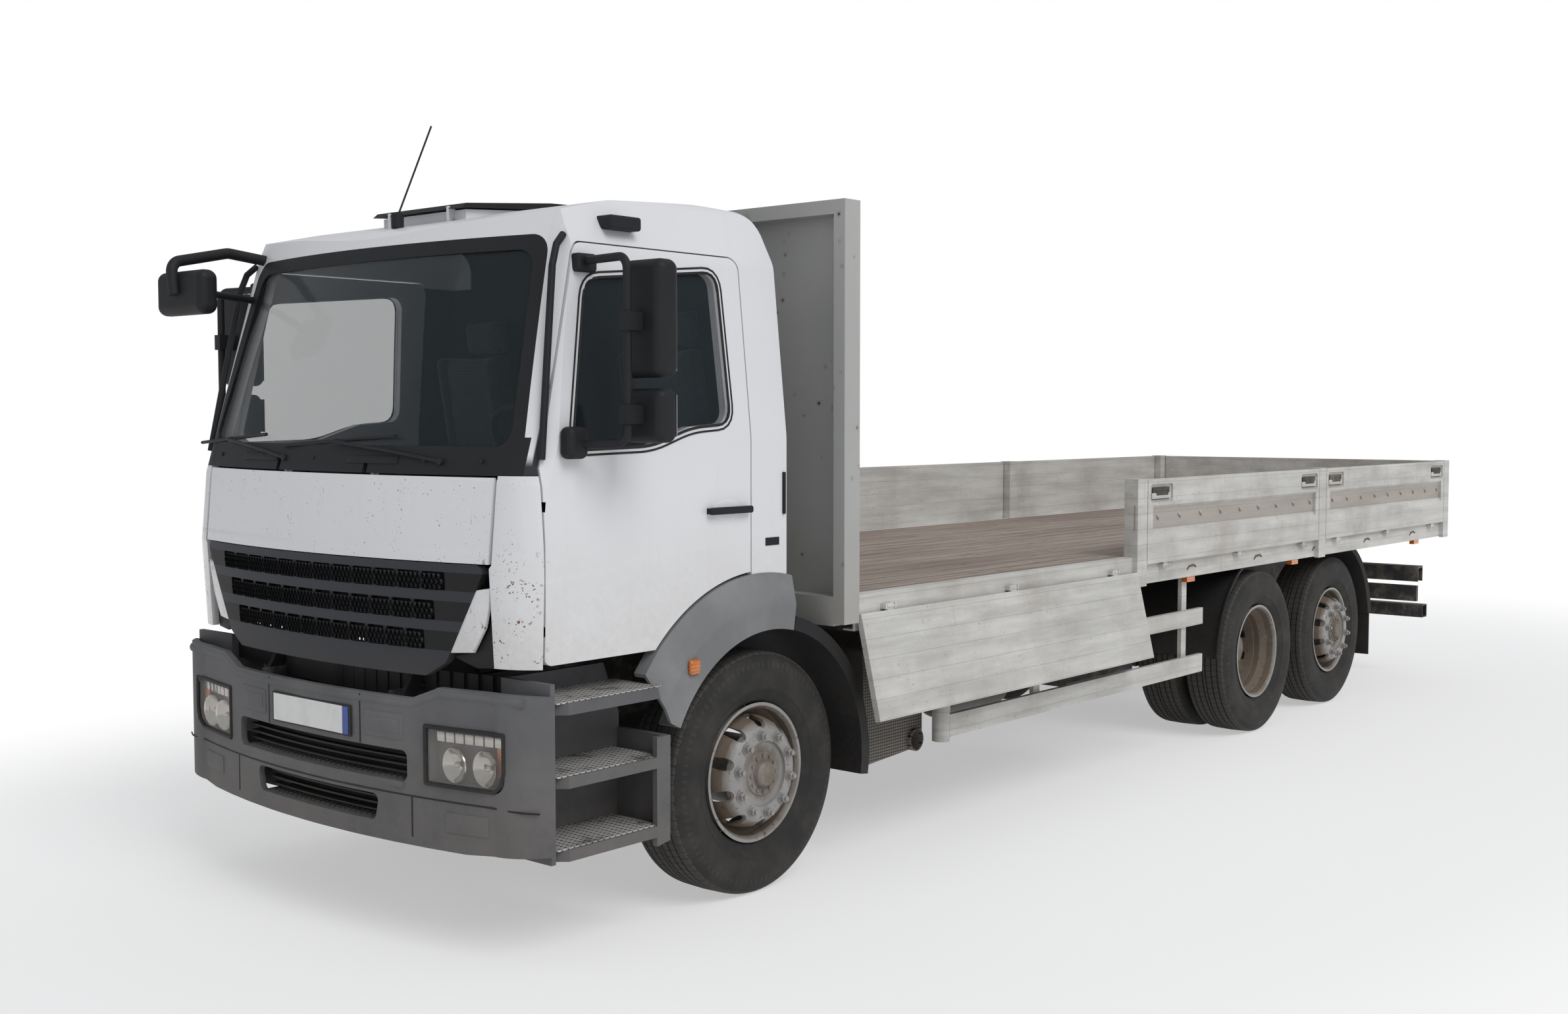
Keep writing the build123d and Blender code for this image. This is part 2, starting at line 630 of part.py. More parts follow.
def side_guards():
    """Two guard rails a side with a rounded front end, hung from the bed on posts."""
    front, rear = -1300, -3980
    y0, y1 = 1198, 1224
    half = block(rear, front, y0, y1, 492, 600) + block(rear, front, y0, y1, 782, 880)
    end = extrude(
        Pos(at(front + 2), y1 - 47, 468)
        * (Circle(47) - Pos(-47, 0) * Rectangle(94, 95)), amount=432)
    half += end
    half += block(front - 40, front + 20, y0 - 40, y0 + 2, 480, 895)
    for x in (-3780, -2126):
        half += block(x - 30, x + 30, y0 - 24, y0 + 1, 492, SIDE_RAIL_LOW)
    return half


def underrun():
    """Lamp bars and plate beams beside the frame's end, and the under-run tube, on hangers."""
    outer, inner, end = 1195, RAIL_OUTER_Y + 1, RAIL_REAR
    low = TAIL_BAR_LOW
    lamp_bar = block(end - 30, end + 75, inner, outer, low, low + 120)
    lamp_bar -= block(end - 29, end + 63, inner - 1, outer + 1, low - 1, low + 103)
    half = lamp_bar + block(end + 63, end + 100, inner, outer, low - 152, low - 30)
    half += block(end + 63, end + 85, 560, 640, low - 152, low + 108)
    half += block(end - 50, end + 120, RAIL_OUTER_Y, RAIL_OUTER_Y + 16, 460, 960)
    tube = block(end - 140, end - 40, -outer, outer, 450, 550)
    tube -= block(end - 132, end - 48, -outer - 1, outer + 1, 458, 542)
    return half + other_side(half) + tube


def lamps():
    """Side marker lamps under the bed and tail lamps on the lamp bar."""
    pieces = []
    for side in (-1, 1):
        for x in MARKER_PLACES:
            pieces.append(block(x - 50, x + 50, side * (RAIL_FACE_Y - 43), side * (RAIL_FACE_Y - 7),
                                SIDE_RAIL_LOW - 33, SIDE_RAIL_LOW))
        pieces.append(block(RAIL_REAR - 52, RAIL_REAR - 30.5, side * 780, side * 1185,
                            TAIL_BAR_LOW + 10, TAIL_BAR_LOW + 110))
    return pieces


# Load bed

def bed_beams():
    """Two long beams on the frame rails."""
    beam_y = RAIL_OUTER_Y - RAIL_FLANGE / 2
    beam = block(BED_REAR + 150, BED_BACK, beam_y - 35, beam_y + 35, RAIL_TOP, CROSS_LOW)
    return both_sides(beam)


def bed_cross_members():
    """Bars across the beams, from side rail to side rail, under the floor."""
    half, top = RAIL_FACE_Y - RAIL_WEB, DECK_Z - FLOOR_BOARD
    pitch = (BED_BACK - BED_REAR - 170) / (BED_CROSS_COUNT - 1)
    places = [BED_BACK - 60 - n * pitch for n in range(BED_CROSS_COUNT)]
    return [block(x - 35, x + 35, -half, half, CROSS_LOW, top) for x in places]


def bed_rails():
    """Side rails and rear rail of the bed in one frame, with the hinge lugs of the drop boards."""
    top = DECK_Z - FLOOR_BOARD
    rail = block(BED_REAR, BED_BACK, RAIL_FACE_Y - 60, RAIL_FACE_Y, SIDE_RAIL_LOW, DECK_Z)
    rail -= block(BED_REAR - 1, BED_BACK + 1, RAIL_FACE_Y - 61, RAIL_FACE_Y - RAIL_WEB,
                  SIDE_RAIL_LOW + 8, top)
    for name, x0, x1 in side_board_spans():
        for x in board_hinges(x0, x1):
            rail = fuse(rail, Pos(at(x), HINGE_Y, HINGE_Z) * hinge_lugs())
    whole = fuse(rail, other_side(rail),
                 block(BED_REAR, BED_REAR + 50, RAIL_WEB - RAIL_FACE_Y, RAIL_FACE_Y - RAIL_WEB,
                       SIDE_RAIL_LOW, top))
    for y in TAIL_HINGES:
        whole = fuse(whole, tail_place(y) * hinge_lugs())
    return whole


def bed_floor():
    """Timber floor between the side rails."""
    half = RAIL_FACE_Y - 60
    return block(BED_REAR, BED_BACK, -half, half, DECK_Z - FLOOR_BOARD, DECK_Z)


def headboard():
    """Front wall of the bed: a frame of folded posts and a top beam round a plain sheet."""
    x0, x1 = BED_FRONT - HEADBOARD_SKIN, BED_FRONT
    sheet = block(x0, x0 + 22, -HALF_BED, HALF_BED, DECK_Z, HEADBOARD_TOP)
    posts = None
    for side in (-1, 1):
        post = block(x0, x1, side * (HALF_BED - 62), side * HALF_BED, 1125, HEADBOARD_TOP)
        posts = post if posts is None else posts + post
    beam = block(x0, x1, -HALF_BED, HALF_BED, HEADBOARD_TOP - 62, HEADBOARD_TOP)
    foot = block(x0, x1, -HALF_BED + 60, HALF_BED - 60, DECK_Z - 130, DECK_Z)
    return sheet + posts + beam + foot


def bed_posts():
    """Side posts between the boards and corner posts at the rear."""
    posts = []
    for front in (POST_1, POST_2, POST_3):
        post = block(front - POST_WIDTH, front, RAIL_FACE_Y, HALF_BED, POST_LOW, BOARD_TOP + 4)
        head = block(front - POST_WIDTH, front, POST_INNER, RAIL_FACE_Y + 1, DECK_Z,
                     BOARD_TOP + 4)
        posts += both_sides(post + head)
    return posts


def board_plate(x0, x1):
    """Left drop side, upright: a hollow-look profile with a long recess and its hinge straps."""
    outer = HALF_BED
    plate = block(x0, x1, outer - BOARD_SKIN, outer, BOARD_LOW, BOARD_TOP)
    recess = front_recess(outer)
    groove = extrude(
        make_face(Polyline(*[(at(x0 + 60), y, z) for y, z in recess], close=True)),
        amount=x1 - x0 - 120, dir=(1, 0, 0))
    plate -= groove
    for x in board_hinges(x0, x1):
        plate = fuse(plate, Pos(at(x), HINGE_Y, HINGE_Z) * hinge_strap())
    for x in (x0 + LATCH_INSET, x1 - LATCH_INSET - LATCH_LENGTH):
        plate = latch(plate, x, outer)
    return plate


def latch(plate, x, outer):
    """A dished latch plate let into the board's outer face, with its lever across it."""
    low, high = LATCH_LOW, LATCH_LOW + LATCH_HEIGHT
    dish = side_plate([(x, low), (x + LATCH_LENGTH, low), (x + LATCH_LENGTH, high), (x, high)],
                      outer - 14, outer + 1, radii=[18, 18, 18, 18])
    lever = block(x + 24, x + LATCH_LENGTH - 24, outer - 15, outer - 3, low + 20, low + 52)
    return fuse(cut(plate, dish), lever)


def board_hinges(x0, x1):
    return (x0 + 230, (x0 + x1) / 2, x1 - 230)


def front_recess(outer):
    """Section of the long recess in a board, as (y, z)."""
    return [(outer + 1, 1530), (outer - 16, 1512), (outer - 16, 1395), (outer + 1, 1362)]


def side_board_spans():
    gap = BOARD_GAP
    return (
        ("1", POST_1 + gap, BED_FRONT - HEADBOARD_SKIN - gap),
        ("2", POST_2 + gap, POST_1 - POST_WIDTH - gap),
        ("3", POST_3 + gap, POST_2 - POST_WIDTH - gap),
    )


def tail_place(y):
    """Turns a hinge drawn for the left side so that it opens to the rear."""
    return Pos(at(-REAR_REACH + HALF_BED - HINGE_Y), y, HINGE_Z) * Rot(0, 0, 90)


def tailboard():
    """Rear drop board between the corner posts."""
    rear = -REAR_REACH
    span = POST_INNER - BOARD_GAP
    plate = block(rear, rear + BOARD_SKIN, -span, span, BOARD_LOW, BOARD_TOP)
    groove = extrude(
        make_face(Polyline(*[
            (at(rear - (y - HALF_BED)), -span + 60, z) for y, z in front_recess(HALF_BED)
        ], close=True)), amount=2 * span - 120, dir=(0, 1, 0))
    plate -= groove
    for y in TAIL_HINGES:
        plate = fuse(plate, tail_place(y) * hinge_strap())
    return plate


# Cab

def cab_plan(inset):
    """Plan of the cab, from its foremost point, taken in by inset; it runs far back."""
    side = CAB_HALF + 8 - inset
    seam = SEAM_Y - 0.8 * inset
    front = -inset
    back = -2700
    corner = (front - BOW - 44, side - 70)
    end = (front - BOW - 124, side)
    return make_face([
        ThreePointArc((front - BOW, -seam), (front, 0), (front - BOW, seam)),
        ThreePointArc((front - BOW, seam), corner, end),
        Line(end, (back, side)),
        Line((back, side), (back, -side)),
        Line((back, -side), (end[0], -side)),
        ThreePointArc((end[0], -side), (corner[0], -corner[1]), (front - BOW, -seam)),
    ])


def cab_form(inset, low):
    """The cab's outer shape above a height, taken in all round by inset."""
    top, rear = ROOF_Z - inset, CAB_REAR + inset
    form = side_plate(
        [(2000, low), (2000, 2600), (1290 - inset, 2600), (1075 - inset, ROOF_FRONT_Z - inset + 10),
         (700 - inset, top - 40), (130, top), (rear, top - 16), (rear, low)],
        -1300, 1300, radii=[0, 0, 0, 130, 300, 300, 110, 0])
    half, high = CAB_HALF - inset, CAB_TOP_HALF - inset
    form &= front_plate(
        [(-half, low - 1), (half, low - 1), (half, 1950), (high, GUTTER_Z - 60),
         (high - 130, top + 2), (-high + 130, top + 2), (-high, GUTTER_Z - 60), (-half, 1950)],
        -900, 2100, radii=[0, 0, 400, 120, 120, 120, 120, 400])
    for (z0, dx0), (z1, dx1) in zip(CAB_FRONT_LINE, CAB_FRONT_LINE[1:]):
        rise = Vector(dx1 - dx0, 0, z1 - z0).normalized()
        plane = Plane(origin=(at(BELT_FRONT) + dx0, 0, z0), z_dir=rise,
                      x_dir=(rise.Z, 0, -rise.X))
        form &= extrude(plane * cab_plan(inset), amount=2200, both=True)
    return form


def screen_outline(grow):
    """Windscreen as (y, z), larger all round by grow."""
    bottom, top = 1925 - grow, 2672 + grow
    return [(-1010 - grow, bottom), (1010 + grow, bottom), (920 + grow, top), (-920 - grow, top)]


def door_outline(shrink):
    """Left door seen from the side as (x, z), smaller all round by shrink."""
    s = shrink
    return [(CORNER_BACK - s, DOOR_BOTTOM + s), (CORNER_BACK - s, 1845), (985 - s, DOOR_TOP - s),
            (DOOR_REAR + s, DOOR_TOP - s), (DOOR_REAR + s, DOOR_BOTTOM + s)]


def door_window(grow):
    return [(1060 + grow, 1915 - grow), (935 + grow, 2555 + grow), (205 - grow, 2625 + grow),
            (185 - grow, 2010 - grow), (420, 1995 - grow), (640, 1925 - grow)]


def arch_cut(radius):
    return fuse(cylinder_y(0, TYRE_R, radius, 1088, 1400),
                cylinder_y(0, TYRE_R, radius, -1400, -1088))


def cab_parts():
    """Cuts the cab's form into shell, corner panels, doors and glass where the real seams are."""
    outer = cab_form(0, 1050)
    skin = cut(outer, cab_form(28, 1040))
    wall = cut(cab_form(0, CAB_FLOOR), cab_form(CAB_WALL, CAB_FLOOR + FLOOR_SKIN))
    reach = 1400
    screen_hole = front_plate(screen_outline(58), 700, 1700, radii=[70, 70, 90, 90])
    cowl_hole = block(1100, 1700, -1080, 1080, 1818, 1960)
    flap_region = block(1000, 1700, -SEAM_Y, SEAM_Y, 1050, 1811)
    corner_region = block(CORNER_BACK, 1700, -reach, reach, 1105, 1818)
    below_corner = front_plate([(-735, 1000), (735, 1000), (900, 1400), (985, 1490), (985, 1900),
                                (-985, 1900), (-985, 1490), (-900, 1400)], 1000, 1700)

    door_hole = side_plate(door_outline(0), 800, reach, radii=[30, 0, 60, 60, 30])
    shell = cut(wall, screen_hole, cowl_hole, door_hole, other_side(door_hole),
                arch_cut(FLARE_R),
                block(CORNER_BACK - 25, 1700, -reach, reach, 1000, 1818))
    bulkhead = block(1130, CORNER_BACK - 25, -SEAM_Y, SEAM_Y, 1120, 1820)
    sill = block(CAB_REAR + 20, 700, 1045, 1090, CAB_FLOOR, FLARE_R + TYRE_R + 60)
    sill &= cab_form(4, CAB_FLOOR)
    pillar = block(CORNER_BACK + 4, 1300, 960, 1130, DOOR_BOTTOM, 1818)
    pillar = fuse(common(pillar, cab_form(28, 1105)),
                  block(1140, CORNER_BACK + 5, 960, PILLAR_Y, DOOR_BOTTOM, 1818))
    beam = block(-140, 1180, 380, 470, CAB_BEAM_Z, CAB_FLOOR + 5)
    arm = side_plate([(1100, CAB_BEAM_Z), (1180, 1130), (TILT_X - 40, TILT_Z - 15),
                      (TILT_X, TILT_Z - 40), (TILT_X + 30, TILT_Z), (TILT_X - 20, TILT_Z + 70),
                      (1180, 1290), (1100, 1290)], RAIL_OUTER_Y + 30, RAIL_OUTER_Y + 54)
    arm += cylinder_y(TILT_X, TILT_Z, TILT_PIN_R, RAIL_OUTER_Y - 6, RAIL_OUTER_Y + 34)
    for low in DOOR_HINGES:
        pillar = fuse(pillar, door_hinge_arm(low))
    curb = cut(hatch_curb(), cab_form(CAB_WALL, CAB_FLOOR))
    shell = fuse(shell, bulkhead, curb, flap_brackets(), hatch_lugs())
    for half in (pillar, sill, beam, arm):
        shell = fuse(shell, half, other_side(half))
    shell = cut(shell, hatch_hole())

    corners = cut(common(skin, corner_region), below_corner, flap_region)
    cowl = cut(outer, cab_form(24, 1040))
    cowl_face = front_plate(screen_outline(58), 700, 1700, radii=[70, 70, 90, 90])
    cowl = common(cowl, fuse(cowl_face, cowl_hole))
    cowl = cut(cowl, front_plate(screen_outline(0), 700, 1700, radii=[60, 60, 80, 80]),
               door_hole, other_side(door_hole))
    for y in FLAP_ARMS:
        cowl = cut(cowl, block(1200, 1700, y - 13, y + 13, 1800, 1868))
    glass = common(cut(cab_form(6, 1040), cab_form(13, 1040)), front_plate(
        screen_outline(0), 700, 1700, radii=[60, 60, 80, 80]))

    door_form = side_plate(door_outline(SEAM), 900, reach, radii=[26, 0, 56, 56, 26])
    door = common(cut(outer, cab_form(DOOR_SKIN, 1040)), door_form)
    window = side_plate(door_window(0), 900, reach, radii=[50, 50, 60, 60, 60, 60])
    front_inside = block(1100, CORNER_BACK + 5, 900, PILLAR_Y + 32, DOOR_BOTTOM - 10, 1860)
    door = cut(door, arch_cut(FLARE_R + 2 * SEAM), window, front_inside)
    for low in DOOR_HINGES:
        door = cut(door, block(DOOR_HINGE_X - 22, CORNER_BACK + 1, PILLAR_Y, DOOR_HINGE_Y + 6,
                               low - 4, low + 34))
        door = fuse(door, Pos(at(DOOR_HINGE_X), DOOR_HINGE_Y, low + 15) * Cylinder(
            DOOR_PIN_R, 46))
    pane = common(cut(cab_form(18, 1040), cab_form(24, 1040)), side_plate(
        door_window(0), 900, reach, radii=[50, 50, 60, 60, 60, 60]))
    return shell, corners, cowl, glass, door, pane, skin


def door_hinge_arm(low):
    """Arm from the door pillar into the left door's pocket, with an eye for the door's pin."""
    arm = top_plate([(CORNER_BACK + 5, PILLAR_Y - 20), (CORNER_BACK + 5, PILLAR_Y + 22),
                     (DOOR_HINGE_X + 24, PILLAR_Y + 30), (DOOR_HINGE_X + 5.5, DOOR_HINGE_Y),
                     (DOOR_HINGE_X - 5.5, DOOR_HINGE_Y), (DOOR_HINGE_X - 2, PILLAR_Y + 22),
                     (DOOR_HINGE_X + 2, PILLAR_Y - 20)], low, low + 30)
    axis = Pos(at(DOOR_HINGE_X), DOOR_HINGE_Y, low + 15)
    return cut(fuse(arm, axis * Cylinder(5.5, 30)), axis * Cylinder(DOOR_PIN_R + RUN_GAP, 40))


def flap_parts(skin):
    """Front flap: painted panel above, black grille with three rows of openings below."""
    panel_region = block(1000, 1700, -SEAM_Y + SEAM, SEAM_Y - SEAM, 1492, PANEL_TOP)
    slant = Plane(origin=(at(BELT_FRONT) - 34, 0, PANEL_TOP), z_dir=Vector(0.45, 0, 1).normalized(),
                  x_dir=Vector(1, 0, -0.45).normalized())
    behind = common(extrude(slant * cab_plan(0), amount=120, both=True),
                    block(1000, 1700, -SEAM_Y, SEAM_Y, PANEL_TOP - 56, PANEL_TOP + 1))
    panel = cut(common(skin, panel_region), behind)
    grille = common(skin, front_plate(
        [(-640, 1052), (640, 1052), (745, 1110), (960, 1488), (-960, 1488), (-745, 1110)],
        1000, 1700, radii=[40, 40, 30, 30, 30, 30]))
    for low, high, half in GRILLE_ROWS:
        pitch = 2 * half / GRILLE_COLUMNS
        for n in range(GRILLE_COLUMNS):
            left = n * pitch - half + GRILLE_RIB / 2
            window = front_plate([(left, low), (left + pitch - GRILLE_RIB, low),
                                  (left + pitch - GRILLE_RIB, high), (left, high)],
                                 1200, 1700, radii=[8, 8, 8, 8])
            grille = cut(grille, window)
    strip = cut(cab_form(27, 1040), cab_form(46, 1040))
    for y in (-600, -120, 120, 600):
        grille = fuse(grille, cut(common(strip, block(1100, 1700, y - 30, y + 30, 1430, 1560)),
                                  panel))
    for y in FLAP_ARMS:
        arm = side_plate([(FLAP_HINGE_X + 12, FLAP_HINGE_Z + 5),
                          (FLAP_HINGE_X - 12, FLAP_HINGE_Z + 5),
                          (FLAP_HINGE_X - 14, 1795), (FLAP_HINGE_X + 4, 1740), (1365, 1740),
                          (1365, 1775), (FLAP_HINGE_X + 14, 1800)], y - 8, y + 8)
        pin_hole = cylinder_y(FLAP_HINGE_X, FLAP_HINGE_Z, FLAP_PIN_R + RUN_GAP, -400, 400)
        panel = fuse(panel, cut(arm, pin_hole))
    return panel, grille


def flap_brackets():
    """Lugs from the bulkhead with a pin for each of the front flap's arms."""
    pieces = []
    for y in FLAP_ARMS:
        for side in (-17, 17):
            pieces.append(side_plate(
                [(1140, 1780), (1178, 1780), (FLAP_HINGE_X - 20, FLAP_HINGE_Z - 14),
                 (FLAP_HINGE_X + 10, FLAP_HINGE_Z - 10), (FLAP_HINGE_X + 10, FLAP_HINGE_Z + 10),
                 (FLAP_HINGE_X - 20, FLAP_HINGE_Z + 12), (1140, 1812)],
                y + side - 5, y + side + 5))
        pieces.append(cylinder_y(FLAP_HINGE_X, FLAP_HINGE_Z, FLAP_PIN_R, y - 20, y + 20))
    return fuse(*pieces)


def hinge_lugs():
    """Two lugs and a pin, drawn about the origin for a hinge along X that opens towards +Y."""
    lug = Box(12, 32, 24)
    pin = Rot(0, 90, 0) * Cylinder(BOARD_PIN_R, 80)
    return fuse(Pos(-34, -3, 0) * lug, Pos(34, -3, 0) * lug, pin)


def hinge_strap():
    """The board's strap round the same pin, up to the board above it."""
    eye = Rot(0, 90, 0) * Cylinder(BOARD_PIN_R + 6, 48)
    strap = Pos(0, 1, 26) * Box(48, 16, 52)
    return cut(fuse(eye, strap), Rot(0, 90, 0) * Cylinder(BOARD_PIN_R + RUN_GAP, 60))


def cab_flares():
    """Front half of each wheel arch flare, carried by the cab and cut where the real one joins."""
    skin = 14
    half = ring_sector(0, [(ARCH_R, 1100), (ARCH_R, FLARE_Y), (ARCH_R + 110, FLARE_Y - 8),
                           (FLARE_R, CAB_HALF + 4), (FLARE_R, 1090),
                           (FLARE_R - 14, 1090), (FLARE_R - 14, CAB_HALF - 8),
                           (ARCH_R + 108, FLARE_Y - 24),
                           (ARCH_R + skin, FLARE_Y - skin), (ARCH_R + skin, 1100)], 27, 76.5)
    return both_sides(half - side_plate(
        [(621, 873), (790, 1252), (900, 1252), (900, 700), (544, 700)], 1000, 1300))


def seats():
    """Driver's and passenger's seats."""
    pieces = []
    for y in (-640, 640):
        base = block(120, 500, y - 200, y + 200, CAB_FLOOR + FLOOR_SKIN, 1560)
        cushion = fillet(block(50, 570, y - 240, y + 240, 1560, 1690).edges(), 40)
        back = side_plate([(20, 1600), (150, 1700), (30, 2350), (-70, 2350)], y - 235, y + 235,
                          radii=[30, 40, 50, 40])
        head = fillet(block(-60, 50, y - 130, y + 130, 2340, 2500).edges(), 40)
        pieces.append(base + cushion + back + head)
    return pieces


def dashboard():
    """Dashboard across the cab, with the steering wheel and its column."""
    top = side_plate([(820, 1500), (1130, 1500), (1130, 1850), (900, 1850), (840, 1760)],
                     -PILLAR_Y, PILLAR_Y, radii=[40, 10, 30, 60, 50])
    column = rod((900, 560, 1750), (726, 560, 1895), 40)
    wheel_plane = Plane(origin=(at(720), 560, 1900), x_dir=(0, 1, 0), z_dir=(-0.8, 0, 0.6))
    rim = wheel_plane * Torus(215, 16)
    spokes = wheel_plane * (Box(420, 40, 18) + Cylinder(60, 40))
    return top + column + rim + spokes


def hatch_height(x):
    """Top of the hatch's curb, which climbs to the rear with the roof."""
    return CURB_FRONT_Z + HATCH_RISE * (HATCH_FRONT - x)


def hatch_slab(x0, x1, half, above0, above1):
    """Slab parallel to the curb's top, between two heights above it."""
    return side_plate([(x0, hatch_height(x0) + above0), (x1, hatch_height(x1) + above0),
                       (x1, hatch_height(x1) + above1), (x0, hatch_height(x0) + above1)],
                      -half, half)


def hatch_curb():
    """Raised frame round the hole in the roof, for the hatch to rest over."""
    return hatch_slab(HATCH_REAR, HATCH_FRONT, HATCH_HALF, -110, 0)


def hatch_hole():
    return block(HATCH_REAR + 36, HATCH_FRONT - 36, 36 - HATCH_HALF, HATCH_HALF - 36, 2700, 3100)


def hatch_lugs():
    """Two lugs on the hatch's curb, each with a pin for the lid."""
    pieces = []
    for y in HATCH_ARMS:
        pieces.append(side_plate([(HATCH_FRONT - 10, CURB_FRONT_Z - 30),
                                  (HATCH_FRONT + 30, CURB_FRONT_Z - 45),
                                  (HATCH_PIN_X + 8, HATCH_PIN_Z + 6),
                                  (HATCH_PIN_X - 8, HATCH_PIN_Z + 6),
                                  (HATCH_FRONT - 10, CURB_FRONT_Z)], y - 8, y + 8))
        pieces.append(cylinder_y(HATCH_PIN_X, HATCH_PIN_Z, HATCH_PIN_R, y - 20, y + 20))
    return fuse(*pieces)


def roof_hatch():
    """Roof hatch: a shallow hollow lid parallel to the roof, hinged at its front edge."""
    rear, front, half = HATCH_REAR - 24, HATCH_FRONT + 40, HATCH_HALF + 24
    lid = side_plate([(front, hatch_height(front) + SEAM), (front - 24, hatch_height(front) + 26),
                      (rear + 130, hatch_height(rear + 130) + 34),
                      (rear + 24, hatch_height(rear) + 28), (rear, hatch_height(rear) + SEAM)],
                     -half, half)
    hollow = hatch_slab(rear + 20, front - 44, half - 16, SEAM - 1, 18)
    lid = cut(lid, hollow)
    for y in HATCH_ARMS:
        lid = cut(lid, block(HATCH_FRONT - 20, front + 1, y - 14, y + 14, HATCH_PIN_Z - 40,
                             HATCH_PIN_Z + 12))
    return cut(lid, cylinder_y(HATCH_PIN_X, HATCH_PIN_Z, HATCH_PIN_R + RUN_GAP, -230, 230))


def roof_fittings():
    """Marker lamps over the doors and the aerial, which leans back from its foot."""
    lamps = both_sides(cut(fillet(block(633, 800, 960, 1090, 2758, 2812).edges(), 12),
                           cab_form(0, 1050)))
    foot = cut(Pos(at(985), 0, 2850) * Cylinder(26, 60), cab_form(0, 1050))
    mast = rod((985, 0, 2868), (806, 0, 3265), 4)
    return lamps + [foot + mast]


def mirror_left():
    """Mirror arm on the left door with a large and a small head."""
    tube_x, tube_y = 990, 1372
    tube = bent_tube([(945, 1060, 2622), (tube_x, tube_y, 2622), (tube_x, tube_y, 1938),
                      (1075, 1150, 1930)], 16, 50)
    main = fillet(block(820, 930, 1265, 1480, 2180, 2615).edges(), 38)
    small = fillet(block(830, 930, 1275, 1480, 1940, 2140).edges(), 34)
    clamps = block(900, 1012, 1350, 1394, 2350, 2420) + block(900, 1012, 1350, 1394, 2010, 2080)
    top_foot = fillet(block(895, 995, 1050, 1118, 2580, 2650).edges(), 14)
    low_foot = fillet(block(1030, 1130, 1146, 1215, 1880, 2000).edges(), 26)
    return cut(tube + main + small + clamps + top_foot + low_foot, cab_form(0, 1050))


def front_mirror():
    """Front mirror on an arm from the roof's right corner, with a stay to the pillar."""
    tip = FRONT_REACH - FRONT_ARM_R
    arm = bent_tube([(950, -960, 2735), (1180, -985, 2765), (tip, -930, 2700), (tip, -905, 2560)],
                    FRONT_ARM_R, 60)
    back, front = tip - 110, tip - FRONT_ARM_R + 10
    head = fillet(block(back, front, -1095, -720, 2475, 2665).edges(), 40)
    stay = rod((1000, -1010, 2560), (back + 30, -900, 2580), 16)
    return cut(arm + head + stay, cab_form(0, 1050))


def turned_about(shape, origin, direction, angle):
    return shape.rotate(Axis(origin, direction), angle)


def build():
    parts = {}
    parts["frame"] = [frame()]
    parts["cross_members"] = cross_members()
    parts["powertrain"] = [powertrain()]
    parts["front_axle"] = [front_axle()]
    drive, tag = rear_axles()
    parts["rear_axles"] = [drive, tag]
    parts["exhaust"] = [exhaust()]
    parts["tanks"] = tanks()
    parts["bumper"] = [bumper()]
    parts["headlamps"] = headlamps()
    parts["steps"] = steps()
    drive_guard, tag_guard, flap = rear_mudguards()
    guard_arms = mudguard_arms()
    parts["mudguards"] = front_mudguards() + both_sides(drive_guard + guard_arms[0]) + both_sides(
        tag_guard + flap + guard_arms[1])
    guard = side_guards()
    parts["side_guards"] = both_sides(guard)
    parts["underrun"] = [underrun()]
    parts["lamps"] = lamps()
    parts["bed_beams"] = bed_beams()
    parts["bed_cross_members"] = bed_cross_members()
    parts["bed_rails"] = [bed_rails()]
    parts["bed_floor"] = [bed_floor()]
    parts["headboard"] = [headboard()]
    parts["bed_posts"] = bed_posts()

    tyre_l, wheel_l = steer_wheel_parts()
    parts["tyre_front_left"], parts["wheel_front_left"] = [tyre_l], [wheel_l]
    tyre_t, wheel_t = tag_wheel_parts()
    parts["tyre_tag_left"], parts["wheel_tag_left"] = [tyre_t], [wheel_t]
    tyres_d, wheel_d = drive_wheel_parts()
    parts["tyres_drive_left"], parts["wheels_drive_left"] = tyres_d, [wheel_d]
    parts["knuckle_left"] = [knuckle()]
    for name in list(parts):
        if name.endswith("_left"):
            parts[name[:-4] + "right"] = [other_side(piece) for piece in parts[name]]

    for name, x0, x1 in side_board_spans():
        upright = board_plate(x0, x1)
        lowered = turned_about(upright, (0, HINGE_Y, HINGE_Z), (1, 0, 0), -(180 - REST_TILT))
        parts["board_left_" + name] = [lowered if name == "1" else upright]
        parts["board_right_" + name] = [other_side(upright)]
    parts["tailboard"] = [tailboard()]

    shell, corners, cowl, glass, door, pane, skin = cab_parts()
    parts["cab_shell"] = [shell]
    parts["corner_panels"] = [corners]
    parts["windscreen_surround"] = [cowl]
    parts["windscreen"] = [glass]
    parts["door_left"], parts["door_right"] = [door], [other_side(door)]
    parts["door_glass_left"], parts["door_glass_right"] = [pane], [other_side(pane)]
    parts["mirror_left"] = [mirror_left()]
    parts["mirror_right"] = [other_side(mirror_left())]
    parts["front_mirror"] = [front_mirror()]
    panel, grille = flap_parts(skin)
    parts["flap_panel"], parts["grille"] = [panel], [grille]
    parts["cab_flares"] = cab_flares()
    parts["seats"] = seats()
    parts["dashboard"] = [dashboard()]
    parts["roof_hatch"] = [roof_hatch()]
    parts["roof_fittings"] = roof_fittings()
    return parts


def save(parts):
    os.makedirs("parts", exist_ok=True)
    for name, pieces in parts.items():
        solids = [solid for piece in pieces for solid in piece.solids()]
        shape = solids[0] if len(solids) == 1 else Compound(children=solids)
        export_step(shape, f"parts/{name}.step")


save(build())
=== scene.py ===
"""Looks of a three-axle platform truck, built round its frame, in metres.

+X is the front of the truck, +Y its left side, +Z up. Places along the truck are given from the
front axle by at(), as a truck is measured.
"""
import json
import math

import bmesh
import bpy
from mathutils import Matrix, Vector
from mathutils.bvhtree import BVHTree


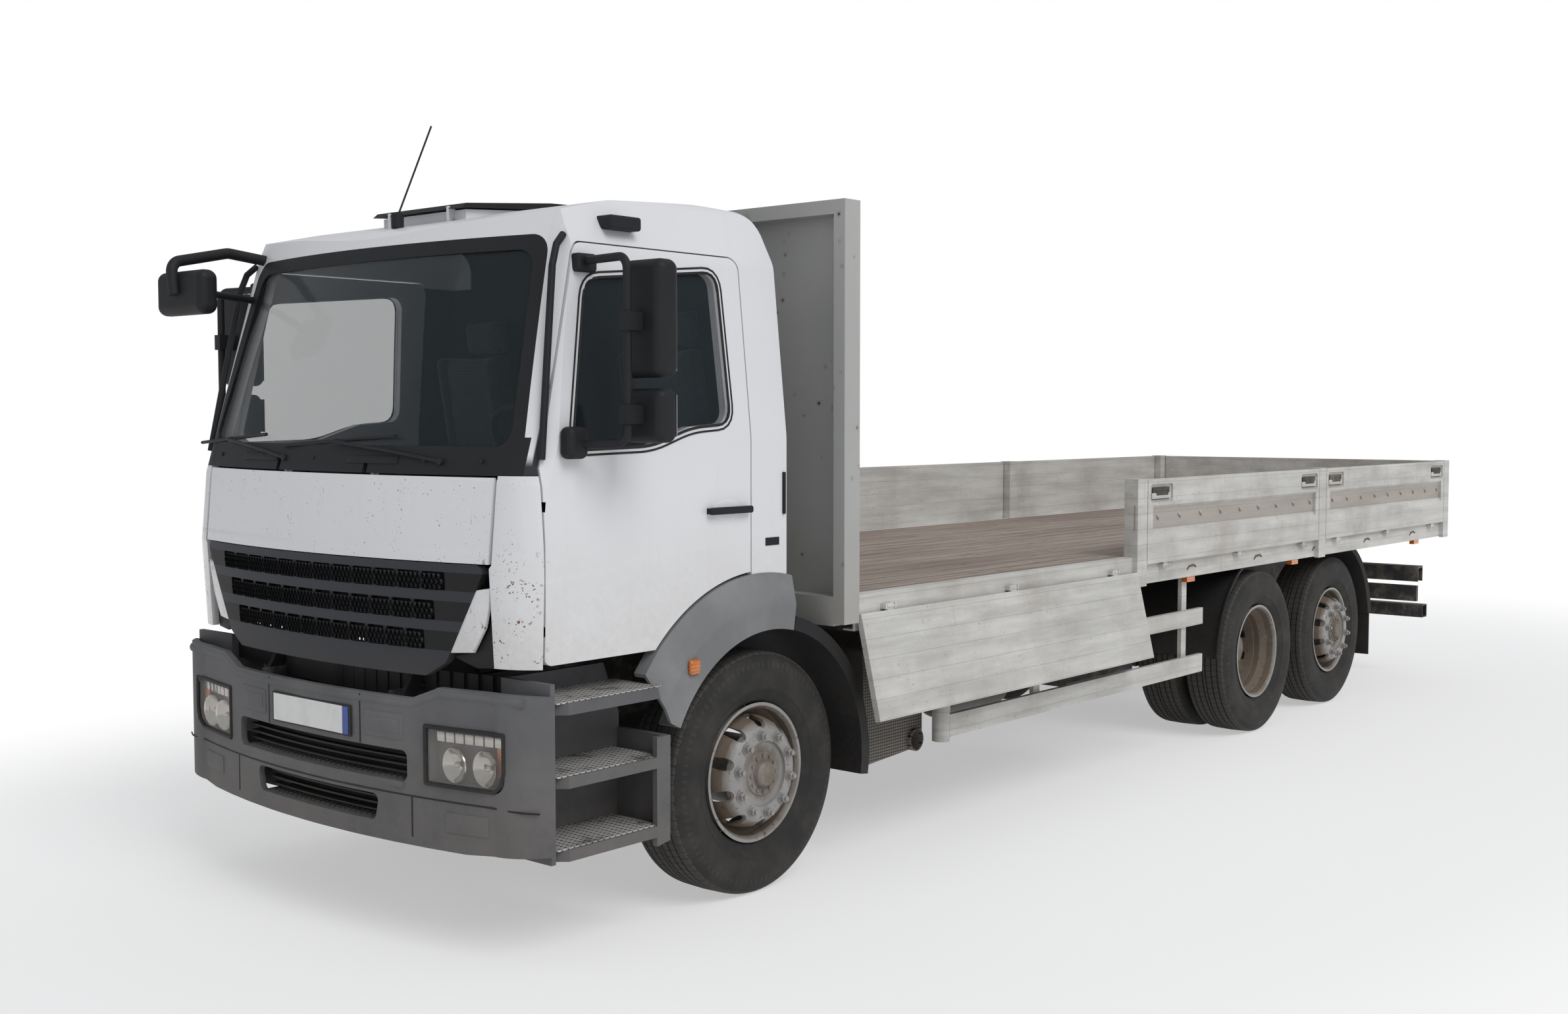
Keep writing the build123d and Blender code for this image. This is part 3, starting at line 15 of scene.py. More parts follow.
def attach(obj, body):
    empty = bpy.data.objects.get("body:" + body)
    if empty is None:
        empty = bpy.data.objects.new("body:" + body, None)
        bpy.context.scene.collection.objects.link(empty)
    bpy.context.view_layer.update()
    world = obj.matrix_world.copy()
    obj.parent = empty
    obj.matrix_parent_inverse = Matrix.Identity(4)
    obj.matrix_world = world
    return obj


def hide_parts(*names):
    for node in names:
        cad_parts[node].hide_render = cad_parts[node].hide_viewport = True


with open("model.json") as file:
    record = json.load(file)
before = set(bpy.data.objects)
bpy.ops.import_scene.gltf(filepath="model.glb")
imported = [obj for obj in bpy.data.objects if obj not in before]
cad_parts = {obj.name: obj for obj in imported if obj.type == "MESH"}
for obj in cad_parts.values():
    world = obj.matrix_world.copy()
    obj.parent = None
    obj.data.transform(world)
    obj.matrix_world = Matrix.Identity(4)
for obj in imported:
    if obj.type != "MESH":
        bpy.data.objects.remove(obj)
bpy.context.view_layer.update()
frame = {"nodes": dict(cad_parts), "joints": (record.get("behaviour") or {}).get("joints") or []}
joint_at = {joint["name"]: Vector(joint["pos_m"]) for joint in frame["joints"]}

# Places of the axles, taken from the truck's frame
FRONT_AXLE = joint_at["steer_left"].x
DRIVE_AXLE = joint_at["roll_drive_left"].x
TAG_AXLE = joint_at["roll_tag_left"].x
AXLE_Z = joint_at["roll_front_left"].z

# Sizes that several pieces share
TYRE_R = 0.5217
BELT_FRONT = 1.425       # front of the cab at its belt, from the front axle
SEAM_Y = 0.972           # seams between the grille and the cab's corners
GRILLE_ROWS = ((1.385, 1.455), (1.270, 1.345), (1.155, 1.230))    # each row's limits in height
SEAT_Y = 0.640           # middle of each seat
SIDES = (("left", 1), ("right", -1))

# The photograph's camera and light, angles in degrees
CAMERA_PLACE = (8.516, 5.695, 2.041)
CAMERA_YAW = 220.415
CAMERA_PITCH = -3.198
CAMERA_LENS = 37.608
SUN_FROM = (0.12, 0.70, 0.70)
SUN_STRENGTH = 1.3
SUN_SPREAD = 34
SKY_COLOUR = (0.95, 0.97, 1.0, 1.0)
SKY_STRENGTH = 0.52


def at(x):
    """Place along the truck, from the front axle."""
    return FRONT_AXLE + x


# Shader expressions

class Wire:
    """An output of a shader node; arithmetic on it adds Math nodes."""

    def __init__(self, finish, socket):
        self.finish = finish
        self.socket = socket

    def math(self, operation, first, second=0.0):
        return self.finish.add("ShaderNodeMath", {"operation": operation}, {0: first, 1: second})

    def __add__(self, other):
        return self.math("ADD", self, other)

    def __radd__(self, other):
        return self.math("ADD", other, self)

    def __sub__(self, other):
        return self.math("SUBTRACT", self, other)

    def __rsub__(self, other):
        return self.math("SUBTRACT", other, self)

    def __mul__(self, other):
        return self.math("MULTIPLY", self, other)

    def __rmul__(self, other):
        return self.math("MULTIPLY", other, self)

    def __truediv__(self, other):
        return self.math("DIVIDE", self, other)

    def __rtruediv__(self, other):
        return self.math("DIVIDE", other, self)

    def __pow__(self, other):
        return self.math("POWER", self, other)

    def __abs__(self):
        return self.math("ABSOLUTE", self)

    def wave(self):
        return self.math("SINE", self)

    def floor(self):
        return self.math("FLOOR", self)

    def fraction(self):
        return self.math("FRACT", self)

    def most(self, other):
        return self.math("MAXIMUM", self, other)

    def least(self, other):
        return self.math("MINIMUM", self, other)

    def step(self, low, high):
        """Rises smoothly from 0 at low to 1 at high; high may be the lower one."""
        if high < low:
            return 1 - self.step(high, low)
        sockets = {"Value": self, "From Min": low, "From Max": high}
        return self.finish.add("ShaderNodeMapRange", {"interpolation_type": "SMOOTHSTEP"}, sockets)


class Finish:
    """A material in the making."""

    def __init__(self, name, **constants):
        self.material = bpy.data.materials.new(name)
        self.material.use_nodes = True
        self.tree = self.material.node_tree
        self.shader = self.tree.nodes["Principled BSDF"]
        for socket, value in constants.items():
            self.shader.inputs[socket.replace("_", " ")].default_value = value

    def add(self, kind, settings=None, sockets=None, output=0):
        """Adds a node: its settings are set first, then its sockets get values or links."""
        node = self.tree.nodes.new(kind)
        for name, value in (settings or {}).items():
            setattr(node, name, value)
        for name, value in (sockets or {}).items():
            self.feed(node.inputs[name], value)
        return Wire(self, node.outputs[output])

    def feed(self, socket, value):
        """Links a wire to the socket, or sets the socket's own value."""
        if isinstance(value, Wire):
            self.tree.links.new(value.socket, socket)
        elif isinstance(value, tuple) and len(value) == 3 and socket.type == "RGBA":
            socket.default_value = (*value, 1.0)
        else:
            socket.default_value = value

    def place(self, scale=(1, 1, 1), centre=(0, 0, 0)):
        """Object coordinates, moved so that centre is their origin, then scaled."""
        raw = self.add("ShaderNodeTexCoord", output="Object")
        offset = [-c * s for c, s in zip(centre, scale)]
        return self.add("ShaderNodeMapping", {}, {
            "Vector": raw, "Location": offset, "Scale": scale})

    def axes(self, place=None):
        """The three coordinates as separate wires."""
        split = self.add("ShaderNodeSeparateXYZ", {}, {"Vector": place or self.place()})
        node = split.socket.node
        return [Wire(self, node.outputs[n]) for n in range(3)]

    def noise(self, scale, detail=4.0, rough=0.55, stretch=(1, 1, 1), lift=0.0):
        """Cloudy value from 0 to 1; a larger stretch makes it change faster along that axis."""
        return self.add("ShaderNodeTexNoise", {}, {
            "Vector": self.place(stretch, (0, 0, lift)), "Scale": scale, "Detail": detail,
            "Roughness": rough})

    def cells(self, scale):
        """Distance to the nearest of many scattered points."""
        return self.add("ShaderNodeTexVoronoi", {}, {
            "Vector": self.place(), "Scale": scale}, "Distance")

    def uv(self, name):
        """The two coordinates of a named layer on the mesh."""
        raw = self.add("ShaderNodeUVMap", {"uv_map": name})
        return self.axes(raw)[:2]

    def mix(self, factor, first, second):
        """Colour that goes from first to second as factor goes from 0 to 1."""
        node = self.tree.nodes.new("ShaderNodeMix")
        node.data_type = "RGBA"
        self.feed(node.inputs["Factor"], factor)
        for socket, value in zip([s for s in node.inputs if s.type == "RGBA"], (first, second)):
            self.feed(socket, value)
        return Wire(self, [s for s in node.outputs if s.type == "RGBA"][0])

    def colour(self, value):
        self.feed(self.shader.inputs["Base Color"], value)

    def rough(self, value):
        self.feed(self.shader.inputs["Roughness"], value)

    def metal(self, value):
        self.feed(self.shader.inputs["Metallic"], value)

    def bump(self, height, depth, strength):
        """Relief: height goes from 0 to 1 over depth metres."""
        normal = self.add("ShaderNodeBump", {}, {
            "Strength": strength, "Distance": depth, "Height": height}, "Normal")
        self.feed(self.shader.inputs["Normal"], normal)


# Colours that several finishes share
DUST = (0.32, 0.27, 0.21)
GRIME = (0.075, 0.062, 0.05)
RUST = (0.16, 0.055, 0.022)


def low_dirt(f, top, bottom, amount):
    """Road dirt that thickens from a height down to a lower one."""
    z = f.axes()[2]
    patch = f.noise(2.2, 6.0, 0.62)
    fine = f.noise(38.0, 3.0, 0.7)
    return (z.step(top, bottom) * (patch * 0.9 + fine * 0.5).step(0.35, 1.0) * amount).least(1.0)


def chips(f, scale, size, zone):
    """Small sharp spots where paint has come off, only inside the zone."""
    spots = f.noise(scale, 2.0, 0.5)
    clusters = f.noise(scale * 0.13, 2.0, 0.5, lift=0.7)
    return spots.step(size, size + 0.02) * clusters.step(0.52, 0.6) * zone


CREASE = (1.198, 1.433, 0.05, 1.547)     # x and z of the door crease's front and rear end
FLAP_CREASE_Z = 1.535
LAMP_RIBS = 420.0        # closeness of the ribs in a lamp's lens
ROOF_SLOPE = 0.07
SCREEN_SLOPE = 0.30


def white_layers(f):
    """Colour, roughness and relief of the cab's white paint, as wires."""
    x, y, z = f.axes()
    dirt = low_dirt(f, 1.75, 1.05, 0.4)
    streak = f.noise(3.0, 5.0, 0.6, (9, 9, 0.5)).step(0.55, 0.9) * 0.12
    nose = x.step(at(1.16), at(1.25)) * z.step(1.60, 1.42) * abs(y).step(0.8, 0.92)
    chip = chips(f, 70.0, 0.60, nose).most(chips(f, 120.0, 0.66, x.step(at(1.2), at(1.3)) * 0.8))
    clean = f.mix(f.noise(1.4, 3.0), (0.73, 0.735, 0.75), (0.78, 0.785, 0.80))
    dusty = f.mix((dirt + streak).least(1.0), clean, (0.46, 0.40, 0.33))
    front_x, front_z, rear_x, rear_z = CREASE
    slope = (rear_z - front_z) / (rear_x - front_x)
    above = z - (x * slope + (front_z - slope * at(front_x)))
    crease = above.step(-0.016, 0.010) * x.step(at(1.22), at(1.18))
    fold = (z - FLAP_CREASE_Z).step(-0.012, 0.010) * x.step(at(1.25), at(1.30))
    relief = 1 - (crease + fold) * 0.5
    return f.mix(chip, dusty, RUST), 0.3 + dirt * 0.4 + chip * 0.3, relief


def white_paint():
    """The cab's paint outside, under a thin clear coat."""
    f = Finish("white_paint", Coat_Weight=0.35, Coat_Roughness=0.12)
    colour, rough, relief = white_layers(f)
    f.colour(colour)
    f.rough(rough)
    f.bump(relief + f.noise(260.0, 1.0) * 0.001, 0.012, 0.9)
    return f.material


def cab_paint():
    """White outside, dark trim inside the cab, chassis black behind the grille and below."""
    f = Finish("cab_paint")
    x, y, z = f.axes()
    colour, rough, relief = white_layers(f)
    wall = 1.124 - (z - 1.95).most(0.0) * 0.10
    roof = 2.886 + at(0.13) * ROOF_SLOPE
    screen = at(1.080) + 2.3 * SCREEN_SLOPE
    under_roof = (z + x * ROOF_SLOPE).step(roof + 0.006, roof)
    inside = (wall - abs(y)).step(-0.001, 0.0) * x.step(at(-0.142), at(-0.138)) * under_roof
    behind_glass = (x + z * SCREEN_SLOPE).step(screen + 0.005, screen)
    inside = inside * behind_glass.most(z.step(1.9, 1.85)) * abs(y).step(0.90, 0.88).most(
        z.step(2.68, 2.67))
    below = z.step(1.302, 1.298).most(x.step(at(1.121), at(1.127)) * z.step(1.824, 1.82))
    trim = f.mix(f.noise(3.0, 3.0), (0.02, 0.021, 0.024), (0.035, 0.036, 0.04))
    f.colour(f.mix(below, f.mix(inside, colour, trim), (0.012, 0.012, 0.013)))
    f.rough(rough.most(inside * 0.75).most(below * 0.8))
    f.bump(relief + f.noise(260.0, 1.0) * 0.001, 0.012, 0.9)
    return f.material


def grey_plastic(name, colour, pale):
    """Moulded plastic with a fine grain, faded and scuffed."""
    f = Finish(name, Specular_IOR_Level=0.35)
    dirt = low_dirt(f, 1.0, 0.35, 0.5)
    fade = f.noise(2.2, 5.0, 0.6).step(0.3, 0.75)
    scratch = f.noise(16.0, 4.0, 0.75, (1, 1, 14)).step(0.62, 0.75) * 0.3
    base = f.mix(fade, colour, pale)
    scuffed = f.mix(scratch, base, tuple(min(1.0, c * 1.6) for c in pale))
    f.colour(f.mix(dirt, scuffed, tuple(c * 0.6 for c in DUST)))
    f.rough(0.6 + fade * 0.2)
    f.bump(f.noise(900.0, 2.0), 0.0006, 0.35)
    return f.material


def grille_plastic():
    """Dark grey bars; the three rows of openings between them are painted near black, painted
    shade seen through the openings.
    """
    f = Finish("charcoal_plastic", Specular_IOR_Level=0.35)
    z = f.axes()[2]
    row = 0.0
    for low, high in GRILLE_ROWS:
        row = row + z.step(low - 0.001, low + 0.001) * z.step(high + 0.001, high - 0.001)
    fade = f.noise(3.0, 5.0, 0.6)
    bars = f.mix(fade, (0.024, 0.025, 0.031), (0.042, 0.044, 0.053))
    # the rows of openings are painted near black: painted shade seen through the honeycomb cells
    f.colour(f.mix(row, f.mix(low_dirt(f, 1.2, 1.0, 0.4), bars, GRIME), (0.006, 0.006, 0.007)))
    f.rough(0.52 + fade * 0.2)
    f.bump(f.noise(900.0, 2.0), 0.0005, 0.3)
    return f.material


def lamp_colours():
    """Orange side markers; behind the underrun red and orange tail lamps."""
    f = Finish("marker_lens", Roughness=0.14, Coat_Weight=0.6)
    x, y, z = f.axes()
    tail = x.step(at(-7.80), at(-7.84))
    outer = abs(y).step(1.075, 1.085)
    ribs = ((y * LAMP_RIBS).wave() * (z * LAMP_RIBS).wave()).step(-0.6, 0.9)
    orange = f.mix(ribs, (0.42, 0.10, 0.01), (0.78, 0.22, 0.03))
    red = f.mix(ribs, (0.25, 0.006, 0.005), (0.5, 0.015, 0.012))
    f.colour(f.mix(tail * (1 - outer), orange, red))
    return f.material


def black_plastic():
    """Near-black moulded plastic, faded in patches."""
    f = Finish("black_plastic", Specular_IOR_Level=0.3)
    fade = f.noise(4.0, 4.0, 0.6)
    dirt = low_dirt(f, 1.3, 0.4, 0.6)
    f.colour(f.mix(dirt, f.mix(fade, (0.009, 0.009, 0.011), (0.02, 0.021, 0.023)), GRIME))
    f.rough(0.48 + fade * 0.25)
    f.bump(f.noise(700.0, 2.0), 0.0005, 0.3)
    return f.material


def chassis_paint(name, colour, rough=0.5):
    """Paint on iron, with road dirt and rust spots."""
    f = Finish(name)
    dirt = f.noise(7.0, 6.0, 0.65).step(0.42, 0.72)
    rust = f.noise(60.0, 3.0, 0.6).step(0.64, 0.7) * 0.7
    base = f.mix(dirt, colour, tuple(0.5 * (a + b) for a, b in zip(GRIME, DUST)))
    f.colour(f.mix(rust, base, RUST))
    f.rough(rough + dirt * 0.35)
    f.bump(f.noise(180.0, 4.0), 0.0008, 0.4)
    return f.material


def rusty_spots(f, scale, size):
    """Round rust spots of mixed size with a brown halo: spot, halo."""
    cell = f.cells(scale)
    pick = f.noise(scale * 0.21, 2.0, 0.5, lift=0.4).step(0.52, 0.60)
    return cell.step(size, size * 0.6) * pick, cell.step(size * 2.4, size * 0.8) * pick * 0.45


def headboard_paint():
    """Pale grey paint with rust spots and runs."""
    f = Finish("bed_paint")
    z = f.axes()[2]
    spot, halo = rusty_spots(f, 5.5, 0.11)
    small, small_halo = rusty_spots(f, 15.0, 0.12)
    runs = f.noise(5.0, 4.0, 0.6, (12, 12, 0.7)).step(0.66, 0.85) * 0.35
    fade = f.noise(1.3, 5.0, 0.6)
    base = f.mix(fade, (0.35, 0.355, 0.345), (0.47, 0.47, 0.45))
    dusty = f.mix(z.step(1.7, 1.1) * 0.45 * f.noise(5.0), base, DUST)
    stained = f.mix(runs.most(halo).most(small_halo), dusty, (0.24, 0.12, 0.06))
    rust = spot.most(small)
    f.colour(f.mix(rust, stained, (0.055, 0.022, 0.014)))
    f.rough(0.5 + fade * 0.2 + rust * 0.2)
    f.bump(1 - rust, 0.0008, 0.5)
    return f.material


def board_aluminium():
    """Extruded drop boards, dull, with lines along them, dents and dirt, and painted shade with
    dirt in the recess along each board.
    """
    f = Finish("pale_aluminium")
    _, y, z = f.axes()
    line_spacing = 0.0875
    along = f.noise(2.4, 6.0, 0.65, (0.5, 2, 5)).step(0.28, 0.72)
    patch = f.noise(1.7, 6.0, 0.62).step(0.42, 0.8)
    streak = f.noise(4.0, 5.0, 0.6, (6, 6, 0.6)).step(0.6, 0.85) * 0.4
    scratch = f.noise(30.0, 3.0, 0.75, (1, 6, 12)).step(0.64, 0.72) * 0.35
    speck = f.noise(70.0, 3.0, 0.6).step(0.66, 0.72) * 0.6
    line = abs((z / line_spacing).fraction() - 0.5).step(0.478, 0.492)
    # band is the recess along each board: darkened as dirt together with painted shade in the
    # recess
    band = z.step(1.385, 1.40) * z.step(1.545, 1.53) * abs(y).step(1.262, 1.258) * abs(y).step(
        1.247, 1.250)
    base = f.mix(along, (0.49, 0.48, 0.455), (0.68, 0.67, 0.64))
    dirt = (patch * 0.5 + streak).most(band * 0.7).least(1.0)
    dirty = f.mix(dirt, base, (0.27, 0.215, 0.165))
    marked = f.mix(line * 0.35, dirty, (0.16, 0.14, 0.12))
    brown = f.mix(speck, marked, (0.13, 0.075, 0.045))
    f.colour(f.mix(scratch, brown, (0.62, 0.62, 0.61)))
    f.metal(0.12)
    f.rough(0.5 + patch * 0.2)
    f.bump(f.noise(5.0, 4.0, 0.55) * 0.8 + along * 0.1 - line * 0.12, 0.006, 0.35)
    return f.material


def deck_wood():
    """Weathered red-brown floor boards that run along the bed."""
    f = Finish("deck_wood")
    plank_width = 0.145
    plank = f.axes()[1] / plank_width
    number = plank.floor()
    joint = abs(plank.fraction() - 0.5).step(0.462, 0.488)
    tone = ((number * 12.9898).wave() * 437.5).fraction()
    grain = f.noise(6.0, 8.0, 0.72, (0.3, 9, 1)).step(0.28, 0.72)
    dark = f.noise(7.0, 5.0, 0.7, (0.5, 3, 1), 0.9).step(0.60, 0.68)
    blotch = f.noise(1.1, 5.0, 0.62, (0.5, 1.6, 1)).step(0.38, 0.7)
    worn = f.noise(9.0, 5.0, 0.7, (0.25, 3, 1)).step(0.6, 0.75)
    base = f.mix(grain, (0.17, 0.125, 0.098), (0.46, 0.40, 0.345))
    tinted = f.mix(tone * 0.45, base, (0.36, 0.285, 0.235))
    stained = f.mix(blotch * 0.55, tinted, (0.185, 0.13, 0.105))
    chalky = f.mix(worn * 0.5, stained, (0.50, 0.45, 0.40))
    chipped = f.mix(dark * 0.8, chalky, (0.11, 0.075, 0.06))
    f.colour(f.mix(joint, chipped, (0.03, 0.02, 0.016)))
    f.rough(0.8)
    f.bump(grain * 0.5 + (1 - joint), 0.003, 0.7)
    return f.material


def tyre_rubber():
    """Rubber with tread sipes, sidewall rings and dust."""
    f = Finish("tyre")
    around, across = f.uv("tread")
    turn, radius = f.uv("wall")
    edge = abs(across)
    tread = radius.step(0.503, 0.506)
    zigzag = (across * 62.0).wave() * 0.12
    sipe = abs((around * 26.0 + zigzag).fraction() - 0.5).step(0.44, 0.48)
    shoulder = edge.step(0.09, 0.094) * abs((around * 20.0).fraction() - 0.5).step(0.34, 0.38)
    rings = (radius * 520.0).wave().step(0.2, 0.9) * radius.step(0.44, 0.452) * radius.step(
        0.492, 0.488)
    ribs = (turn * math.tau * 90).wave().step(0.0, 0.8) * radius.step(0.452, 0.456) * radius.step(
        0.478, 0.474)
    step_ring = radius.step(0.352, 0.354) * radius.step(0.364, 0.362)
    relief = 1 - tread * sipe.most(shoulder) * 0.9 + (rings * 0.06 + ribs * 0.1 + step_ring * 0.18)
    dust = f.noise(6.0, 6.0, 0.65).step(0.38, 0.8)
    worn = tread * 0.55
    base = f.mix(dust, (0.016, 0.0155, 0.015), (0.052, 0.046, 0.04))
    f.colour(f.mix((worn * (1 - sipe)).most(ribs * 0.2), base, (0.085, 0.078, 0.068)))
    f.rough(0.78 + dust * 0.12)
    f.bump(relief + f.noise(160.0, 3.0) * 0.04, 0.006, 0.9)
    return f.material


def wheel_paint(name, x):
    """Silver wheel paint with brown dirt round the holes, nuts and flange."""
    f = Finish(name)
    px, _, pz = f.axes(f.place((1, 1, 1), (x, 0, AXLE_Z)))
    radius = (px * px + pz * pz) ** 0.5
    patch = f.noise(9.0, 6.0, 0.68)
    ring = radius.step(0.19, 0.235) * radius.step(0.3, 0.262) + radius.step(0.15, 0.1) * 0.7
    dirt = (patch * 0.8 + ring * 0.55).step(0.42, 0.95)
    rust = f.noise(46.0, 4.0, 0.6).step(0.6, 0.68) * radius.step(0.12, 0.17)
    base = f.mix(f.noise(3.0), (0.25, 0.245, 0.235), (0.37, 0.36, 0.345))
    brown = f.mix(dirt * 0.85, base, (0.155, 0.112, 0.075))
    f.colour(f.mix(rust * 0.8, brown, RUST))
    f.metal(0.2)
    f.rough(0.42 + dirt * 0.4)
    f.bump(f.noise(120.0, 3.0), 0.0008, 0.35)
    return f.material


def clear_glass(name, tint, alpha):
    """Pane that shows the inside and mirrors the light."""
    f = Finish(name, Roughness=0.03, Alpha=alpha, IOR=1.5)
    haze = f.noise(3.0, 4.0, 0.6).step(0.5, 0.9)
    f.colour(f.mix(haze * 0.25, tint, tuple(c * 0.75 for c in tint)))
    f.material.surface_render_method = "DITHERED"
    return f.material


def lens(name, colour):
    """Moulded lamp lens with fine ribs inside."""
    f = Finish(name, Roughness=0.12, Coat_Weight=0.6)
    _, y, z = f.axes()
    ribs = (y * LAMP_RIBS).wave() * (z * LAMP_RIBS).wave()
    f.colour(f.mix(ribs.step(-0.6, 0.9), tuple(c * 0.55 for c in colour), colour))
    f.bump(ribs, 0.001, 0.4)
    return f.material


def plain_finish(name, colour, rough, metal=0.0, grain=300.0, dirt=0.2):
    """Small fittings: one colour broken up by dirt and a fine grain."""
    f = Finish(name, Metallic=metal)
    patch = f.noise(14.0, 4.0, 0.6)
    f.colour(f.mix(patch.step(0.4, 0.8) * dirt, colour, GRIME))
    f.rough(rough + patch * 0.12)
    f.bump(f.noise(grain, 2.0), 0.0004, 0.3)
    return f.material


def seat_cloth():
    """Woven cloth with lighter ribs down the middle of the cushions."""
    f = Finish("seat_cloth", Sheen_Weight=0.3)
    x, y, z = f.axes()
    thread = 2600.0
    weave = (x * thread).wave() * (y * thread).wave() + (z * thread).wave() * 0.5
    middle = abs(abs(y) - SEAT_Y).step(0.15, 0.135)
    dark = f.mix(f.noise(30.0), (0.02, 0.021, 0.026), (0.036, 0.038, 0.044))
    f.colour(f.mix(middle * 0.8, dark, (0.07, 0.075, 0.09)))
    f.rough(0.9)
    f.bump(weave, 0.0006, 0.5)
    return f.material


def perforated_steel():
    """Stained silencer cover with rows of small round holes, the holes painted near black as
    painted shade inside them.
    """
    f = Finish("exhaust_steel")
    x, y, z = f.axes()
    pitch = 0.0145
    dx = (x / pitch).fraction() - 0.5
    dz = (z / pitch).fraction() - 0.5
    hole = (dx * dx + dz * dz).step(0.1, 0.075) * y.step(1.083, 1.0845)
    stain = f.noise(8.0, 5.0, 0.65)
    base = f.mix(stain, (0.13, 0.11, 0.09), (0.27, 0.25, 0.225))
    # holes painted near black: painted shade inside the holes
    f.colour(f.mix(hole, base, (0.008, 0.008, 0.008)))
    f.metal(0.3)
    f.rough(0.5 + stain * 0.3)
    f.bump(1 - hole, 0.002, 0.8)
    return f.material


def tread_steel():
    """Worn step plates with rows of raised-edge holes painted near black as painted shade inside
    them, bright where feet rub.
    """
    f = Finish("step_tread")
    x, y, _ = f.axes()
    along, across = 0.030, 0.022
    dx = (x / along).fraction() - 0.5
    dy = (y / across).fraction() - 0.5
    ring = dx * dx * 1.8 + dy * dy
    hole = ring.step(0.085, 0.06)
    rim = ring.step(0.16, 0.12)
    rub = f.noise(6.0, 5.0, 0.7).step(0.30, 0.52)
    base = f.mix(rub, (0.17, 0.15, 0.13), (0.66, 0.645, 0.62))
    # holes painted near black: painted shade inside the holes
    f.colour(f.mix(hole, base, (0.02, 0.018, 0.017)))
    f.metal(0.35)
    f.rough(0.42 + (1 - rub) * 0.3)
    f.bump(rim - hole, 0.0025, 0.9)
    return f.material


paint = {
    "white": white_paint(),
    "cab": cab_paint(),
    "grey": grey_plastic("grey_plastic", (0.095, 0.095, 0.102), (0.155, 0.155, 0.16)),
    "flare": grey_plastic("flare_plastic", (0.175, 0.177, 0.18), (0.255, 0.257, 0.26)),
    "tread": tread_steel(),
    "grille": grille_plastic(),
    "lamps": lamp_colours(),
    "black": black_plastic(),
    "chassis": chassis_paint("frame_paint", (0.028, 0.028, 0.03)),
    "tank": chassis_paint("tank_paint", (0.035, 0.036, 0.04), 0.4),
    "iron": chassis_paint("axle_iron", (0.04, 0.038, 0.036), 0.6),
    "engine": chassis_paint("engine_iron", (0.09, 0.09, 0.092), 0.5),
    "silencer": perforated_steel(),
    "bed": headboard_paint(),
    "board": board_aluminium(),
    "deck": deck_wood(),
    "tyre": tyre_rubber(),
    "wheel_front": wheel_paint("wheel_paint_front", FRONT_AXLE),
    "wheel_drive": wheel_paint("wheel_paint_drive", DRIVE_AXLE),
    "wheel_tag": wheel_paint("wheel_paint_tag", TAG_AXLE),
    "glass": clear_glass("clear_glass", (0.025, 0.04, 0.047), 0.24),
    "lens": clear_glass("lamp_cover", (0.45, 0.43, 0.40), 0.14),
    "orange": lens("orange_lens", (0.75, 0.2, 0.02)),
    "reflector": plain_finish("reflector_chrome", (0.62, 0.59, 0.55), 0.16, 0.9, 80.0, 0.25),
    "bezel": plain_finish("lamp_bezel", (0.17, 0.16, 0.15), 0.35, 0.0, 200.0, 0.3),
    "rusty": plain_finish("rusty_iron", (0.15, 0.09, 0.06), 0.75, 0.0, 120.0, 0.6),
    "steel": plain_finish("worn_steel", (0.34, 0.34, 0.335), 0.42, 0.8, 250.0, 0.5),
    "rubber": plain_finish("rubber_seal", (0.012, 0.012, 0.012), 0.7),
    "mirror": plain_finish("mirror_glass", (0.7, 0.72, 0.73), 0.04, 1.0, 10.0, 0.05),
    "plate": plain_finish("plate_white", (0.72, 0.72, 0.7), 0.35, 0.0, 400.0, 0.12),
    "band": plain_finish("plate_blue", (0.03, 0.07, 0.3), 0.35, 0.0, 400.0, 0.1),
    "cloth": seat_cloth(),
}

# CAD nodes and the finish each one gets
NODE_FINISH = {
    "frame": "chassis", "cross_members": "chassis", "powertrain": "engine",
    "front_axle": "iron", "rear_axles": "iron", "exhaust": "silencer", "tanks": "tank",
    "bumper": "grey", "headlamps": "lens", "steps": "grey", "mudguards": "black",
    "side_guards": "board", "underrun": "chassis", "lamps": "lamps", "bed_beams": "bed",
    "bed_cross_members": "bed", "bed_rails": "board", "bed_floor": "deck", "headboard": "bed",
    "bed_posts": "board", "tailboard": "board", "cab_shell": "cab", "corner_panels": "white",
    "windscreen_surround": "black", "windscreen": "glass", "front_mirror": "black",
    "flap_panel": "white", "grille": "grille", "cab_flares": "flare", "seats": "cloth",
    "dashboard": "black", "roof_hatch": "black", "roof_fittings": "black",
}
for side_name, _ in SIDES:
    NODE_FINISH.update({
        f"wheel_front_{side_name}": "wheel_front", f"wheel_tag_{side_name}": "wheel_tag",
        f"wheels_drive_{side_name}": "wheel_drive", f"knuckle_{side_name}": "iron",
        f"door_{side_name}": "white", f"door_glass_{side_name}": "glass",
        f"mirror_{side_name}": "black",
    })
    for count in "123":
        NODE_FINISH[f"board_{side_name}_{count}"] = "board"
for node_name, finish_name in NODE_FINISH.items():
    mesh = frame["nodes"][node_name].data
    mesh.materials.clear()
    mesh.materials.append(paint[finish_name])


# Making pieces

def new_piece(name, bm, body, finish, smooth, mirror=False):
    """Turns a finished bmesh into a piece that rides on a body.

    Edges that turn by more than smooth degrees stay sharp. mirror puts it on the right side.
    """
    if mirror:
        bmesh.ops.scale(bm, vec=(1, -1, 1), verts=bm.verts)
    bmesh.ops.remove_doubles(bm, verts=bm.verts, dist=0.00002)
    bmesh.ops.recalc_face_normals(bm, faces=bm.faces)
    mesh = bpy.data.meshes.new(name)
    bm.to_mesh(mesh)
    bm.free()
    mesh.materials.append(paint[finish])
    mesh.shade_smooth()
    mesh.set_sharp_from_angle(angle=math.radians(smooth))
    piece = bpy.data.objects.new(name, mesh)
    bpy.context.scene.collection.objects.link(piece)
    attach(piece, body)
    return piece


